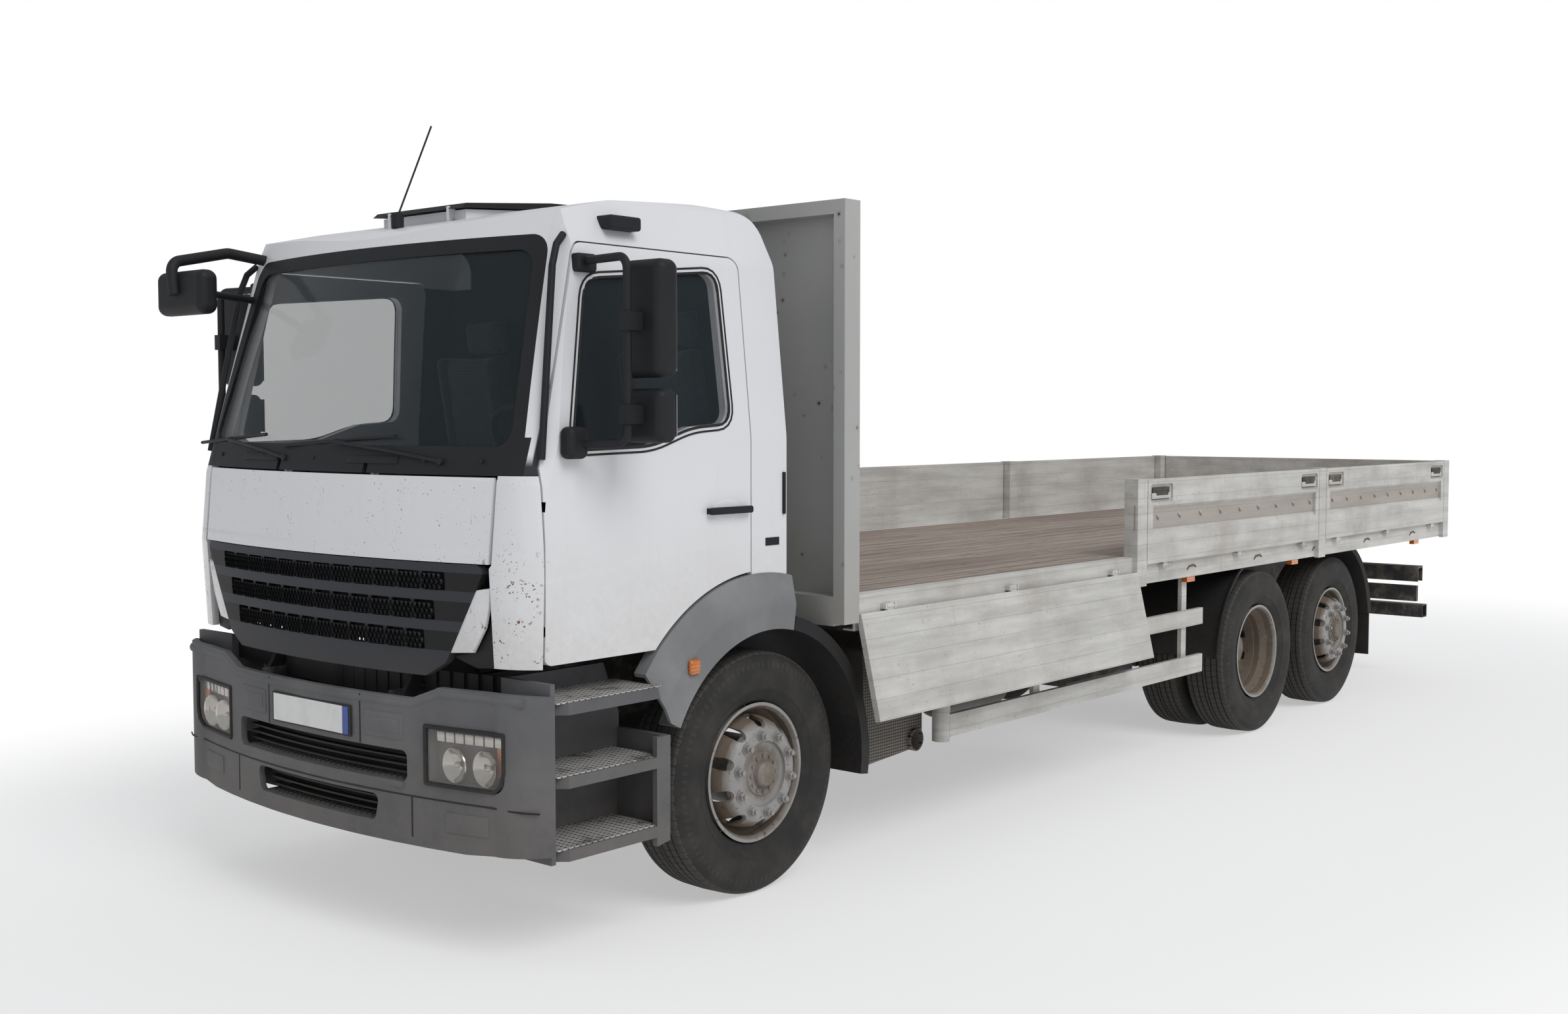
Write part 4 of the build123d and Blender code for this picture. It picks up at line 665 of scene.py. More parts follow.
def add_box(bm, x, y, z, round_by=0.0, segments=2):
    """A box between limits, each a pair of places, with its edges rounded."""
    limits = (x, y, z)
    verts = bmesh.ops.create_cube(bm, size=1.0)["verts"]
    bmesh.ops.scale(bm, vec=[abs(b - a) for a, b in limits], verts=verts)
    bmesh.ops.translate(bm, vec=[(a + b) / 2 for a, b in limits], verts=verts)
    if round_by:
        edges = list({edge for vert in verts for edge in vert.link_edges})
        bmesh.ops.bevel(bm, geom=edges, offset=round_by, offset_type="OFFSET", segments=segments,
                        profile=0.5, affect="EDGES", material=-1)


def add_bar(bm, start, end, radius, sides):
    """A round bar from start to end."""
    a, b = Vector(start), Vector(end)
    turn = (b - a).to_track_quat("Z", "Y").to_matrix().to_4x4()
    bmesh.ops.create_cone(
        bm, cap_ends=True, segments=sides, radius1=radius, radius2=radius, depth=(b - a).length,
        matrix=Matrix.Translation((a + b) / 2) @ turn)


def add_pipe(bm, points, radius, sides):
    """A bar with round joints along a few points."""
    for a, b in zip(points, points[1:]):
        add_bar(bm, a, b, radius, sides)
    for p in points[1:-1]:
        bmesh.ops.create_uvsphere(bm, u_segments=sides, v_segments=8, radius=radius,
                                  matrix=Matrix.Translation(p))


def add_turned(bm, profile, centre, steps, axis=(0, 1, 0), closed=False):
    """Turns (radius, along) points about an axis through the centre."""
    lead = Vector((1, 0, 0)) if axis[0] == 0 else Vector((0, 1, 0))
    centre = Vector(centre)
    verts = [bm.verts.new(centre + lead * r + Vector(axis) * w) for r, w in profile]
    edges = [bm.edges.new(pair) for pair in zip(verts, verts[1:])]
    if closed:
        edges.append(bm.edges.new((verts[-1], verts[0])))
    bmesh.ops.spin(bm, geom=verts + edges, cent=centre, axis=axis, angle=math.tau, steps=steps,
                   use_merge=True, use_duplicate=False)


def add_hexagon(bm, centre, size, height, axis, out):
    """A hexagonal nut standing on centre along X or Y; size is across its corners."""
    turn = {"X": Matrix.Rotation(math.pi / 2, 4, "Y"),
            "Y": Matrix.Rotation(-math.pi / 2, 4, "X")}[axis]
    shift = turn.to_3x3() @ Vector((0, 0, out * height / 2))
    return bmesh.ops.create_cone(
        bm, cap_ends=True, segments=6, radius1=size / 2, radius2=size / 2, depth=height,
        matrix=Matrix.Translation(Vector(centre) + shift) @ turn)["verts"]


def add_outline(bm, points, depth, x):
    """A plate from (y, z) points, standing from x back by depth."""
    verts = [bm.verts.new((x, y, z)) for y, z in points]
    face = bm.faces.new(verts)
    grown = bmesh.ops.extrude_face_region(bm, geom=[face])
    moved = [item for item in grown["geom"] if isinstance(item, bmesh.types.BMVert)]
    bmesh.ops.translate(bm, vec=(-depth, 0, 0), verts=moved)


def slice_across(bm):
    """Cuts the mesh along Y, so that it can follow a curved panel."""
    spacing = 0.06
    ys = [vert.co.y for vert in bm.verts]
    low = math.ceil(min(ys) / spacing)
    for n in range(low, math.floor(max(ys) / spacing) + 1):
        bmesh.ops.bisect_plane(bm, geom=bm.verts[:] + bm.edges[:] + bm.faces[:],
                               plane_co=(0, n * spacing, 0), plane_no=(0, 1, 0), dist=1e-6)


def arc_depth(y, half, depth):
    """How far an arc of that depth at y = half stands back at y."""
    radius = (half * half + depth * depth) / (2 * depth)
    return radius - math.sqrt(max(0.0, radius * radius - y * y))


BUMPER_MIDDLE = 1.440    # front of its middle, from the front axle
BUMPER_FLAT = 1.0        # half the width of its gentle curve
BUMPER_SWEEP = 0.115     # how far the gentle curve stands back at its ends
CORNER_WIDTH = 0.228
CORNER_DEPTH = 0.093


def bumper_front(y):
    """Front of the bumper at y, from the front axle."""
    side = abs(y)
    if side <= BUMPER_FLAT:
        return BUMPER_MIDDLE - arc_depth(y, BUMPER_FLAT, BUMPER_SWEEP)
    share = min(1.0, (side - BUMPER_FLAT) / CORNER_WIDTH)
    turned = CORNER_DEPTH * (1 - math.sqrt(max(0.0, 1 - share ** 2.4)))
    return BUMPER_MIDDLE - BUMPER_SWEEP - turned


def skin(*nodes):
    """Finds the truck's surface: a function from a start and a direction to the point hit."""
    bm = bmesh.new()
    for node in nodes:
        bm.from_mesh(frame["nodes"][node].data)
    tree = BVHTree.FromBMesh(bm)
    bm.free()

    def hit(start, direction):
        return tree.ray_cast(Vector(start), Vector(direction))[0]
    return hit


OUTSIDE = 2.0            # a place beyond the truck's side, to look for its surface from
CAB_SIDE = 1.14          # the cab's side, where no surface is found


def side_skin(s, *nodes):
    """Finds the truck's outer side: a function from x and z to y."""
    hit = skin(*nodes)

    def side_y(x, z):
        found = hit((at(x), s * OUTSIDE, z), (0, -s, 0))
        return found.y if found else s * CAB_SIDE
    return side_y


def round_path(corners, radius):
    """A closed path through (a, b) corners with each corner rounded."""
    steps = 5
    path = []
    for n, corner in enumerate(corners):
        tip = Vector(corner)
        before, after = Vector(corners[n - 1]), Vector(corners[(n + 1) % len(corners)])
        start = tip + (before - tip).normalized() * radius
        end = tip + (after - tip).normalized() * radius
        for k in range(steps + 1):
            t = k / steps
            path.append(start * (1 - t) ** 2 + tip * 2 * t * (1 - t) + end * t * t)
    return path


def offset_path(path, distance):
    """The closed path moved sideways, outward where it runs anticlockwise."""
    moved = []
    for n, point in enumerate(path):
        run = path[(n + 1) % len(path)] - path[n - 1]
        moved.append(point + Vector((run.y, -run.x)).normalized() * distance)
    return moved


CAB_FRONT_LINE = ((1.05, -0.025), (1.49, 0.0), (1.815, -0.031), (2.72, -0.300))
CAB_SWEEP = 0.108        # how far the cab's front stands back at its corner seams


def cab_front(y, z):
    """Front of the cab at a place on it, from the front axle.

    CAB_FRONT_LINE gives how far it leans from the belt at a few heights.
    """
    line = CAB_FRONT_LINE
    pair = next((p for p in zip(line, line[1:]) if z <= p[1][0]), (line[-2], line[-1]))
    (z0, d0), (z1, d1) = pair
    lean = d0 + (d1 - d0) * (z - z0) / (z1 - z0)
    return BELT_FRONT + lean - arc_depth(y, SEAM_Y, CAB_SWEEP)


def lay_on(bm, front):
    """Moves a mesh drawn about x = 0 onto a curved front."""
    slice_across(bm)
    for vert in bm.verts:
        vert.co.x += at(front(vert.co.y, vert.co.z))


def on_bumper(y, _):
    """The bumper's front for lay_on; it is the same at every height."""
    return bumper_front(y)


# Wheels

def tyre_profile():
    """Half a tyre's section from the bead to the middle of the tread, as (radius, across)."""
    wall = [(0.2992, 0.100), (0.2998, 0.106), (0.308, 0.113), (0.330, 0.128), (0.352, 0.1385),
            (0.3545, 0.1405), (0.362, 0.1425), (0.364, 0.1415), (0.385, 0.1465), (0.410, 0.1485),
            (0.440, 0.1478), (0.465, 0.1435), (0.484, 0.1365), (0.498, 0.1285), (0.507, 0.1245),
            (0.5135, 0.1195), (0.517, 0.109)]
    ribs = []
    for outer, inner in ((0.0925, 0.0835), (0.0545, 0.0455), (0.0155, 0.0065)):
        ribs += [(TYRE_R - 0.0028 * outer / 0.0925, outer), (0.5075, outer - 0.002),
                 (0.5075, inner + 0.002), (TYRE_R - 0.0028 * inner / 0.0925, inner)]
    return wall + ribs + [(TYRE_R, 0.0)]


def tyre(name, body, node, x, y_centres):
    """Tyres on one axle end, with layers that place the tread and the rings of the wall."""
    bm = bmesh.new()
    half = tyre_profile()
    section = half + [(r, -w) for r, w in reversed(half[:-1])]
    section += [(0.33, -0.108), (0.42, -0.126), (0.492, -0.105), (0.498, 0.0), (0.492, 0.105),
                (0.42, 0.126), (0.33, 0.108)]
    for y in y_centres:
        add_turned(bm, section, (x, y, AXLE_Z), 112, closed=True)
    bmesh.ops.recalc_face_normals(bm, faces=bm.faces)
    tread, wall = (bm.loops.layers.uv.new(layer) for layer in ("tread", "wall"))
    for face in bm.faces:
        centre = face.calc_center_median()
        mid = math.atan2(centre.z - AXLE_Z, centre.x - x)
        y_mid = min(y_centres, key=lambda y: abs(y - centre.y))
        for loop in face.loops:
            co = loop.vert.co
            turn = math.atan2(co.z - AXLE_Z, co.x - x)
            turn += math.tau * round((mid - turn) / math.tau)
            radius = math.hypot(co.z - AXLE_Z, co.x - x)
            loop[tread].uv = (turn * TYRE_R, co.y - y_mid)
            loop[wall].uv = (turn / math.tau, radius)
    piece = new_piece(name, bm, body, "tyre", 40)
    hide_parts(node)


def wheel_nuts(name, body, finish, x, y_face, out):
    """Ten nuts with their washers and studs, and the hub's screws, on a wheel's face."""
    nuts, nut_circle = 10, 0.1675
    screws, screw_circle = 12, 0.078
    bm = bmesh.new()
    for n in range(nuts):
        turn = math.tau * n / nuts + 0.2
        px, pz = x + nut_circle * math.cos(turn), AXLE_Z + nut_circle * math.sin(turn)
        add_bar(bm, (px, y_face, pz), (px, y_face + out * 0.005, pz), 0.0235, 20)
        nut = add_hexagon(bm, (px, y_face + out * 0.005, pz), 0.037, 0.020, "Y", out)
        edges = list({edge for vert in nut for edge in vert.link_edges})
        bmesh.ops.bevel(bm, geom=edges, offset=0.0015, segments=1, profile=0.5, affect="EDGES",
                        material=-1)
        add_bar(bm, (px, y_face + out * 0.02, pz), (px, y_face + out * 0.036, pz), 0.0105, 12)
    for n in range(screws):
        turn = math.tau * n / screws
        px, pz = x + screw_circle * math.cos(turn), AXLE_Z + screw_circle * math.sin(turn)
        add_hexagon(bm, (px, y_face - out * 0.006, pz), 0.014, 0.008, "Y", out)
    new_piece(name, bm, body, finish, 30)


for side_name, s in SIDES:
    tyre(f"tyre_tread_front_{side_name}", f"front_wheel_{side_name}", f"tyre_front_{side_name}",
         FRONT_AXLE, [s * 1.0])
    tyre(f"tyre_tread_tag_{side_name}", f"tag_wheel_{side_name}", f"tyre_tag_{side_name}",
         TAG_AXLE, [s * 1.018])
    tyre(f"tyre_tread_drive_{side_name}", f"drive_wheels_{side_name}",
         f"tyres_drive_{side_name}", DRIVE_AXLE, [s * 1.084, s * 0.75])
    wheel_nuts(f"wheel_nuts_front_{side_name}", f"front_wheel_{side_name}", "wheel_front",
               FRONT_AXLE, s * 1.167, s)
    wheel_nuts(f"wheel_nuts_tag_{side_name}", f"tag_wheel_{side_name}", "wheel_tag",
               TAG_AXLE, s * 1.185, s)
    wheel_nuts(f"wheel_nuts_drive_{side_name}", f"drive_wheels_{side_name}", "wheel_drive",
               DRIVE_AXLE, s * 0.930, s)


# Bumper and lamps

def rounded_copy(name, node, body, finish, radius):
    """Stands for a CAD node, with its sharp edges rounded."""
    bm = bmesh.new()
    bm.from_mesh(frame["nodes"][node].data)
    bmesh.ops.remove_doubles(bm, verts=bm.verts, dist=0.00005)
    bmesh.ops.dissolve_limit(bm, angle_limit=math.radians(1.2), verts=bm.verts, edges=bm.edges)
    piece = new_piece(name, bm, body, finish, 30)
    rounding = piece.modifiers.new("rounding", "BEVEL")
    rounding.width = radius
    rounding.segments = 3
    rounding.limit_method = "ANGLE"
    rounding.angle_limit = math.radians(40)
    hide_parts(node)


def bumper_trim():
    """Seams, step treads and blank covers on the bumper."""
    seams = bmesh.new()
    add_box(seams, (-0.004, 0.0012), (-1.2, 1.2), (0.588, 0.594))
    for s in (-1, 1):
        for y, low, high in ((0.318, 0.765, 0.958), (0.6042, 0.434, 0.588)):
            add_box(seams, (-0.004, 0.0012), (s * y - 0.003, s * y + 0.003), (low, high))
    lay_on(seams, on_bumper)
    new_piece("bumper_seams", seams, "chassis", "rubber", 30)

    covers = bmesh.new()
    for s in (-1, 1):
        add_box(covers, (-0.006, 0.003), (s * 0.775, s * 0.972), (0.474, 0.552), 0.003)
        add_box(covers, (-0.006, 0.0025), (s * 0.345, s * 0.56), (0.80, 0.90), 0.0024)
        add_box(covers, (-0.006, 0.005), (s * 0.37, s * 0.535), (0.822, 0.878), 0.003)
    lay_on(covers, on_bumper)
    new_piece("bumper_covers", covers, "chassis", "grey", 30)

    treads = bmesh.new()
    pitch = 0.034
    for z, half, rows in ((0.64, 0.53, 4), (0.47, 0.37, 3)):
        for row in range(rows):
            for n in range(int(half * 2 / pitch)):
                y = -half + pitch / 2 + n * pitch + (row % 2) * 0.008
                x = at(bumper_front(y)) - 0.035 - row * 0.024
                add_box(treads, (x - 0.006, x + 0.006), (y - 0.011, y + 0.011), (z, z + 0.0035))
    new_piece("bumper_step_treads", treads, "chassis", "grey", 20)

    slats = bmesh.new()
    for lowest, count, half in ((0.662, 4, 0.57), (0.492, 3, 0.385)):
        for n in range(count):
            z = lowest + n * 0.028
            add_box(slats, (-0.075, -0.045), (-half, half), (z, z + 0.007))
    lay_on(slats, on_bumper)
    new_piece("bumper_air_slats", slats, "chassis", "black", 20)


def number_plate():
    """Blank plate with a blue end, in its dark holder."""
    face, half, band_start = 1.442, 0.26, 0.222
    height = (0.789, 0.899)
    holder = bmesh.new()
    add_box(holder, (at(face - 0.007), at(face)), (-0.272, 0.272), (0.782, 0.906), 0.003)
    new_piece("plate_holder", holder, "chassis", "black", 30)
    plate = bmesh.new()
    add_box(plate, (at(face), at(face + 0.0025)), (-half, band_start), height, 0.001, 1)
    new_piece("number_plate", plate, "chassis", "plate", 30)
    band = bmesh.new()
    add_box(band, (at(face), at(face + 0.0026)), (band_start, half), height, 0.001, 1)
    new_piece("plate_band", band, "chassis", "band", 30)


def bumper_roll():
    """The bumper's rolled upper edge, and a black panel behind its lower openings as painted shade
    seen through them.
    """
    bumper = skin("bumper")
    run = []
    for n in range(-24, 25):
        y = n * 0.0495
        front = at(bumper_front(y))
        top = bumper((front - 0.012, y, 1.5), (0, 0, -1))
        if top:
            run.append((front - 0.019, y, top.z - 0.026))
    bm = bmesh.new()
    add_pipe(bm, run, 0.023, 16)
    new_piece("bumper_roll", bm, "chassis", "grey", 50)
    # black panel behind the lower openings: painted shade seen through them
    back = bmesh.new()
    add_box(back, (at(1.270), at(1.280)), (-0.64, 0.64), (0.445, 0.775))
    new_piece("bumper_opening_shade", back, "chassis", "black", 30)


def valance():
    """Dark panels between the bumper and the grille, each of a few strips along the curve."""
    strips = 6
    bm = bmesh.new()
    for s in (-1, 1):
        for inner, outer, low, high in ((0.0, 0.44, 0.935, 1.035), (0.50, 0.93, 0.955, 1.055)):
            a, b = sorted((s * inner, s * outer))
            for n in range(strips):
                y0, y1 = a + (b - a) * n / strips, a + (b - a) * (n + 1) / strips
                x = at(cab_front((y0 + y1) / 2, 1.05)) - 0.115
                add_box(bm, (x - 0.012, x), (y0, y1), (low, high))
    new_piece("valance_panels", bm, "chassis", "black", 30)


LAMP_OUTLINE = ((0.682, 0.652), (1.000, 0.652), (1.040, 0.682), (1.053, 0.730), (1.053, 0.866),
                (0.682, 0.866))
LAMP_MIDDLE = (0.868, 0.76)
BULB_Z = 0.728


def headlamp(side, s):
    """Deep housing, upper strip, round and square reflectors, behind a curved cover."""
    def ring(grow):
        mid_y, mid_z = LAMP_MIDDLE
        return [(mid_y + (y - mid_y) * grow, mid_z + (z - mid_z) * grow) for y, z in LAMP_OUTLINE]

    housing = bmesh.new()
    add_outline(housing, ring(1.0), 0.055, -0.006)
    front = max(housing.faces, key=lambda face: face.calc_center_median().x)
    bmesh.ops.inset_region(housing, faces=[front], thickness=0.010)
    hole = bmesh.ops.extrude_face_region(housing, geom=[front])
    moved = [item for item in hole["geom"] if isinstance(item, bmesh.types.BMVert)]
    bmesh.ops.translate(housing, vec=(-0.044, 0, 0), verts=moved)
    bmesh.ops.delete(housing, geom=[front], context="FACES_ONLY")
    lay_on(housing, on_bumper)
    piece = new_piece(f"headlamp_housing_{side}", housing, "chassis", "bezel",
                      30, mirror=s < 0)
    rim = bmesh.new()
    add_pipe(rim, [(0.0015, y, z) for y, z in ring(1.02) + ring(1.02)[:1]], 0.0085, 8)
    lay_on(rim, on_bumper)
    new_piece(f"headlamp_bezel_{side}", rim, "chassis", "black", 50,
              mirror=s < 0)

    bowls = bmesh.new()
    for y, radius in ((0.800, 0.062), (0.945, 0.064)):
        x = at(bumper_front(y)) - 0.016
        profile = [(radius + 0.006, -0.004), (radius + 0.004, 0.002), (radius, 0.0),
                   (radius * 0.86, -0.016), (radius * 0.55, -0.027), (radius * 0.25, -0.031),
                   (0.0001, -0.031)]
        add_turned(bowls, profile, (x, y, BULB_Z), 40, axis=(1, 0, 0))
        bmesh.ops.create_uvsphere(bowls, u_segments=16, v_segments=10, radius=0.013,
                                  matrix=Matrix.Translation((x - 0.018, y, BULB_Z)))
    new_piece(f"headlamp_reflectors_{side}", bowls, "chassis", "reflector", 40,
              mirror=s < 0)
    strip = bmesh.new()
    for n in range(7):
        y = 0.712 + n * 0.046
        add_box(strip, (-0.03, -0.018), (y, y + 0.040), (0.812, 0.850), 0.003)
    lay_on(strip, on_bumper)
    new_piece(f"headlamp_strip_{side}", strip, "chassis", "reflector", 30,
              mirror=s < 0)
    turn_lamp = bmesh.new()
    add_box(turn_lamp, (-0.034, -0.02), (0.995, 1.035), (0.70, 0.848), 0.004)
    lay_on(turn_lamp, on_bumper)
    new_piece(f"headlamp_indicator_{side}", turn_lamp, "chassis", "orange", 30,
              mirror=s < 0)
    cover = bmesh.new()
    add_outline(cover, ring(0.985), 0.003, -0.004)
    lay_on(cover, on_bumper)
    new_piece(f"headlamp_cover_{side}", cover, "chassis", "lens", 30, mirror=s < 0)
    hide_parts("headlamps")


rounded_copy("bumper_shell", "bumper", "chassis", "grey", 0.016)
bumper_roll()
bumper_trim()
valance()
number_plate()
for side_name, s in SIDES:
    headlamp(side_name, s)


# Cab front

def grille_mesh():
    """Honeycomb cells in the grille's three rows of openings."""
    bm = bmesh.new()
    pitch = 0.0235
    rise = pitch * 0.86
    for (low, high), half in zip(GRILLE_ROWS, (0.80, 0.74, 0.68)):
        for row in range(int((high - low) / rise)):
            z = low + pitch * 0.55 + row * rise
            for n in range(int(2 * half / pitch)):
                y = -half + pitch * (n + 0.5 * (row % 2))
                if abs(y) > half - 0.055:
                    continue
                x = at(cab_front(y, z)) - 0.0035
                bmesh.ops.create_cone(
                    bm, cap_ends=False, segments=6, radius1=pitch * 0.52, radius2=pitch * 0.40,
                    depth=0.009, matrix=Matrix.Translation((x + 0.0045, y, z))
                    @ Matrix.Rotation(math.pi / 2, 4, "Y"))
    new_piece("grille_honeycomb", bm, "front_flap", "black", 20)


BLADE_OUTLINE = ((0.968, 1.404), (0.896, 1.392), (0.851, 1.355), (0.801, 1.269), (0.728, 1.145),
                 (0.873, 1.156), (0.934, 1.253), (0.957, 1.332))
# outline of the black plate set back in the duct beside the blade: painted shade in the duct
DUCT_SHADE_OUTLINE = ((0.966, 1.392), (0.950, 1.330), (0.928, 1.250), (0.868, 1.160), (0.745, 1.132),
                (0.863, 1.093), (0.968, 1.100))


def corner_blade(side, s):
    """White blade beside the grille, and a black plate set back between it and the cab's corner as
    painted shade in the duct.
    """
    for name, outline, back, finish, slot in (
            ("corner_blade", BLADE_OUTLINE, -0.004, "white", "white_paint"),
            ("corner_duct_shade", DUCT_SHADE_OUTLINE, -0.030, "black", "black_plastic")):
        bm = bmesh.new()
        add_outline(bm, outline, 0.014, back)
        edges = [edge for edge in bm.edges if all(v.co.x > back - 0.001 for v in edge.verts)]
        bmesh.ops.bevel(bm, geom=edges, offset=0.004, segments=2, profile=0.5, affect="EDGES",
                        material=-1)
        lay_on(bm, cab_front)
        new_piece(f"{name}_{side}", bm, "cab", finish, 40, mirror=s < 0)


def wiper(name, pivot_y, reach):
    """Arm from its pivot, and a blade that lies along the foot of the windscreen."""
    def on_screen(y, z, proud):
        return Vector((at(cab_front(y, z)) + proud, y, z))

    arm = bmesh.new()
    pivot_z, rest_z = 1.868, 1.938
    pivot = on_screen(pivot_y, pivot_z, 0.002)
    add_bar(arm, pivot - Vector((0.004, 0, 0)), pivot + Vector((0.010, 0, 0)), 0.013, 20)
    mid = on_screen(pivot_y - reach * 0.45, 1.905, 0.012)
    end = on_screen(pivot_y - reach, rest_z, 0.016)
    add_pipe(arm, [pivot + Vector((0.004, 0, 0)), mid, end], 0.007, 10)
    half_blade = 0.36
    blade_start = on_screen(end.y + half_blade, 1.962, 0.009)
    blade_end = on_screen(end.y - half_blade, 1.918, 0.009)
    add_bar(arm, blade_start, blade_end, 0.0075, 8)
    add_bar(arm, end, (blade_start + blade_end) / 2, 0.009, 8)
    new_piece(name, arm, "cab", "black", 40)


def cowl_trim():
    """Two oblong recess covers and screws under the windscreen."""
    bm = bmesh.new()
    for y in (-0.62, 0.18):
        add_box(bm, (-0.004, 0.0035), (y, y + 0.30), (1.855, 1.885), 0.003)
    lay_on(bm, cab_front)
    screw_z = 1.872
    for y in (-0.88, -0.45, -0.05, 0.36, 0.62, 0.9):
        x = at(cab_front(y, screw_z))
        add_hexagon(bm, (x - 0.004, y, screw_z), 0.018, 0.008, "X", 1)
    new_piece("cowl_covers", bm, "cab", "black", 30)


grille_mesh()
for side_name, s in SIDES:
    corner_blade(side_name, s)
cowl_trim()
wiper("wiper_left", 0.707, 0.62)
wiper("wiper_right", -0.26, 0.55)


# Doors

WINDOW_CORNERS = ((1.060, 1.915), (0.935, 2.555), (0.205, 2.625), (0.185, 2.010), (0.420, 1.995),
                  (0.640, 1.925))
PILLAR_LINE = ((1.000, 1.040, 2.722), (1.045, 1.052, 2.680), (1.075, 1.062, 2.600),
               (1.127, 1.092, 2.293), (1.196, 1.132, 1.880))


def door_trim(side, s):
    """Handle in its dish, the rubber frame round the window and glass in the mirrors."""
    door_y = side_skin(s, f"door_{side}", f"door_glass_{side}")

    def on_door(x, z):
        return Vector((at(x), door_y(x, z), z))

    body = f"door_{side}"
    frame_bm = bmesh.new()
    window = round_path(WINDOW_CORNERS, 0.075)
    for distance, radius in ((0.004, 0.006), (0.024, 0.0045)):
        run = [on_door(p.x, p.y) for p in offset_path(window, distance)]
        add_pipe(frame_bm, run + run[:1], radius, 6)
    new_piece(f"door_window_frame_{side}", frame_bm, body, "rubber", 60)

    dish = bmesh.new()
    centre = on_door(0.21, 1.652)
    bmesh.ops.create_uvsphere(dish, u_segments=28, v_segments=14, radius=1.0)
    bmesh.ops.scale(dish, vec=(0.085, 0.004, 0.042), verts=dish.verts)
    bmesh.ops.translate(dish, vec=centre, verts=dish.verts)
    new_piece(f"door_handle_dish_{side}", dish, body, "white", 40)
    grip = bmesh.new()
    face = abs(centre.y)
    add_box(grip, (at(0.078), at(0.337)), (face + 0.014, face + 0.034), (1.637, 1.667), 0.009, 3)
    for x in (0.094, 0.318):
        add_box(grip, (at(x - 0.014), at(x + 0.014)), (face - 0.004, face + 0.02),
                (1.640, 1.664), 0.003)
    new_piece(f"door_handle_{side}", grip, body, "black", 40, mirror=s < 0)

    glass = bmesh.new()
    for low, high in ((2.205, 2.590), (1.962, 2.118)):
        add_box(glass, (at(0.8175), at(0.8205)), (1.288, 1.457), (low, high), 0.001, 1)
    new_piece(f"mirror_glass_{side}", glass, body, "mirror", 30, mirror=s < 0)


def cab_side_trim(side, s):
    """Trim down the windscreen pillar, flare lamp, bare plate and latch behind the door."""
    trim = bmesh.new()
    add_pipe(trim, [(at(x), s * y, z) for x, y, z in PILLAR_LINE], 0.014, 10)
    new_piece(f"pillar_trim_{side}", trim, "cab", "black", 50)

    wall = abs(side_skin(s, "cab_shell", f"door_{side}", "cab_flares")(-0.074, 1.507))
    badge = bmesh.new()
    add_box(badge, (at(-0.118), at(-0.030)), (wall - 0.002, wall + 0.003), (1.490, 1.524), 0.002)
    add_box(badge, (at(-0.152), at(-0.140)), (wall - 0.004, wall + 0.012), (1.62, 1.80), 0.003)
    new_piece(f"cab_side_plate_{side}", badge, "cab", "black", 30,
              mirror=s < 0)

    flare = abs(side_skin(s, "cab_flares")(0.474, 1.039))
    lamp = bmesh.new()
    add_box(lamp, (at(0.445), at(0.505)), (flare - 0.004, flare + 0.020), (1.008, 1.070),
            0.012, 3)
    new_piece(f"flare_lamp_{side}", lamp, "cab", "orange", 40, mirror=s < 0)


def step_treads(side, s):
    """Perforated plates let into the three steps."""
    bm = bmesh.new()
    for z, rear in ((0.985, 0.665), (0.712, 0.672), (0.440, 0.680)):
        add_box(bm, (at(rear), at(1.205)), (0.945, 1.216), (z - 0.001, z + 0.004), 0.0012, 1)
    new_piece(f"step_treads_{side}", bm, "chassis", "tread", 30, mirror=s < 0)


for side_name, s in SIDES:
    door_trim(side_name, s)
    cab_side_trim(side_name, s)
    step_treads(side_name, s)


# Seats

def smooth_rise(value, low, high):
    """Goes smoothly from 0 at low to 1 at high."""
    t = max(0.0, min(1.0, (value - low) / (high - low)))
    return t * t * (3 - 2 * t)


def cushion(bm, centre, size, lean, radius, crown, bolster, seams, cuts):
    """A stuffed form in its box: crowned, sides pulled in between corners, sewn channels.

    The crowned face is the upper one before the form turns about Y. A lean of 0 lies flat, 90
    stands upright and more than 90 leans forward.
    """
    bmesh.ops.create_cube(bm, size=2.0)
    bmesh.ops.subdivide_edges(bm, edges=bm.edges[:], cuts=cuts, use_grid_fill=True)
    half = Vector(size) / 2
    for vert in bm.verts:
        u, v, w = vert.co
        full = Vector((u * half.x, v * half.y, w * half.z))
        core = Vector([max(radius - half[n], min(half[n] - radius, full[n])) for n in range(3)])
        edge = full - core
        p = core + edge.normalized() * min(edge.length, radius) if edge.length else full
        p.x *= 1 - 0.035 * (1 - v * v) * abs(u) ** 3
        p.y *= 1 - 0.035 * (1 - u * u) * abs(v) ** 3
        if w > 0:
            top = min(1.0, w * 2)
            drop = crown * (1 - (1 - u * u) * (1 - abs(v) ** 3))
            middle = bolster * (1 - smooth_rise(abs(v), 0.52, 0.78))
            channel = 0.010 * math.exp(-((abs(v) - 0.62) / 0.035) ** 2) if bolster else 0.0
            for seam in seams:
                across = 1 - smooth_rise(abs(v), 0.55, 0.62)
                channel += 0.007 * math.exp(-((u - seam) / 0.05) ** 2) * across
            p.z -= (drop + middle + channel) * top
        vert.co = p
    turn = Matrix.Rotation(math.radians(lean), 4, "Y")
    bmesh.ops.transform(bm, matrix=Matrix.Translation(centre) @ turn, verts=bm.verts)


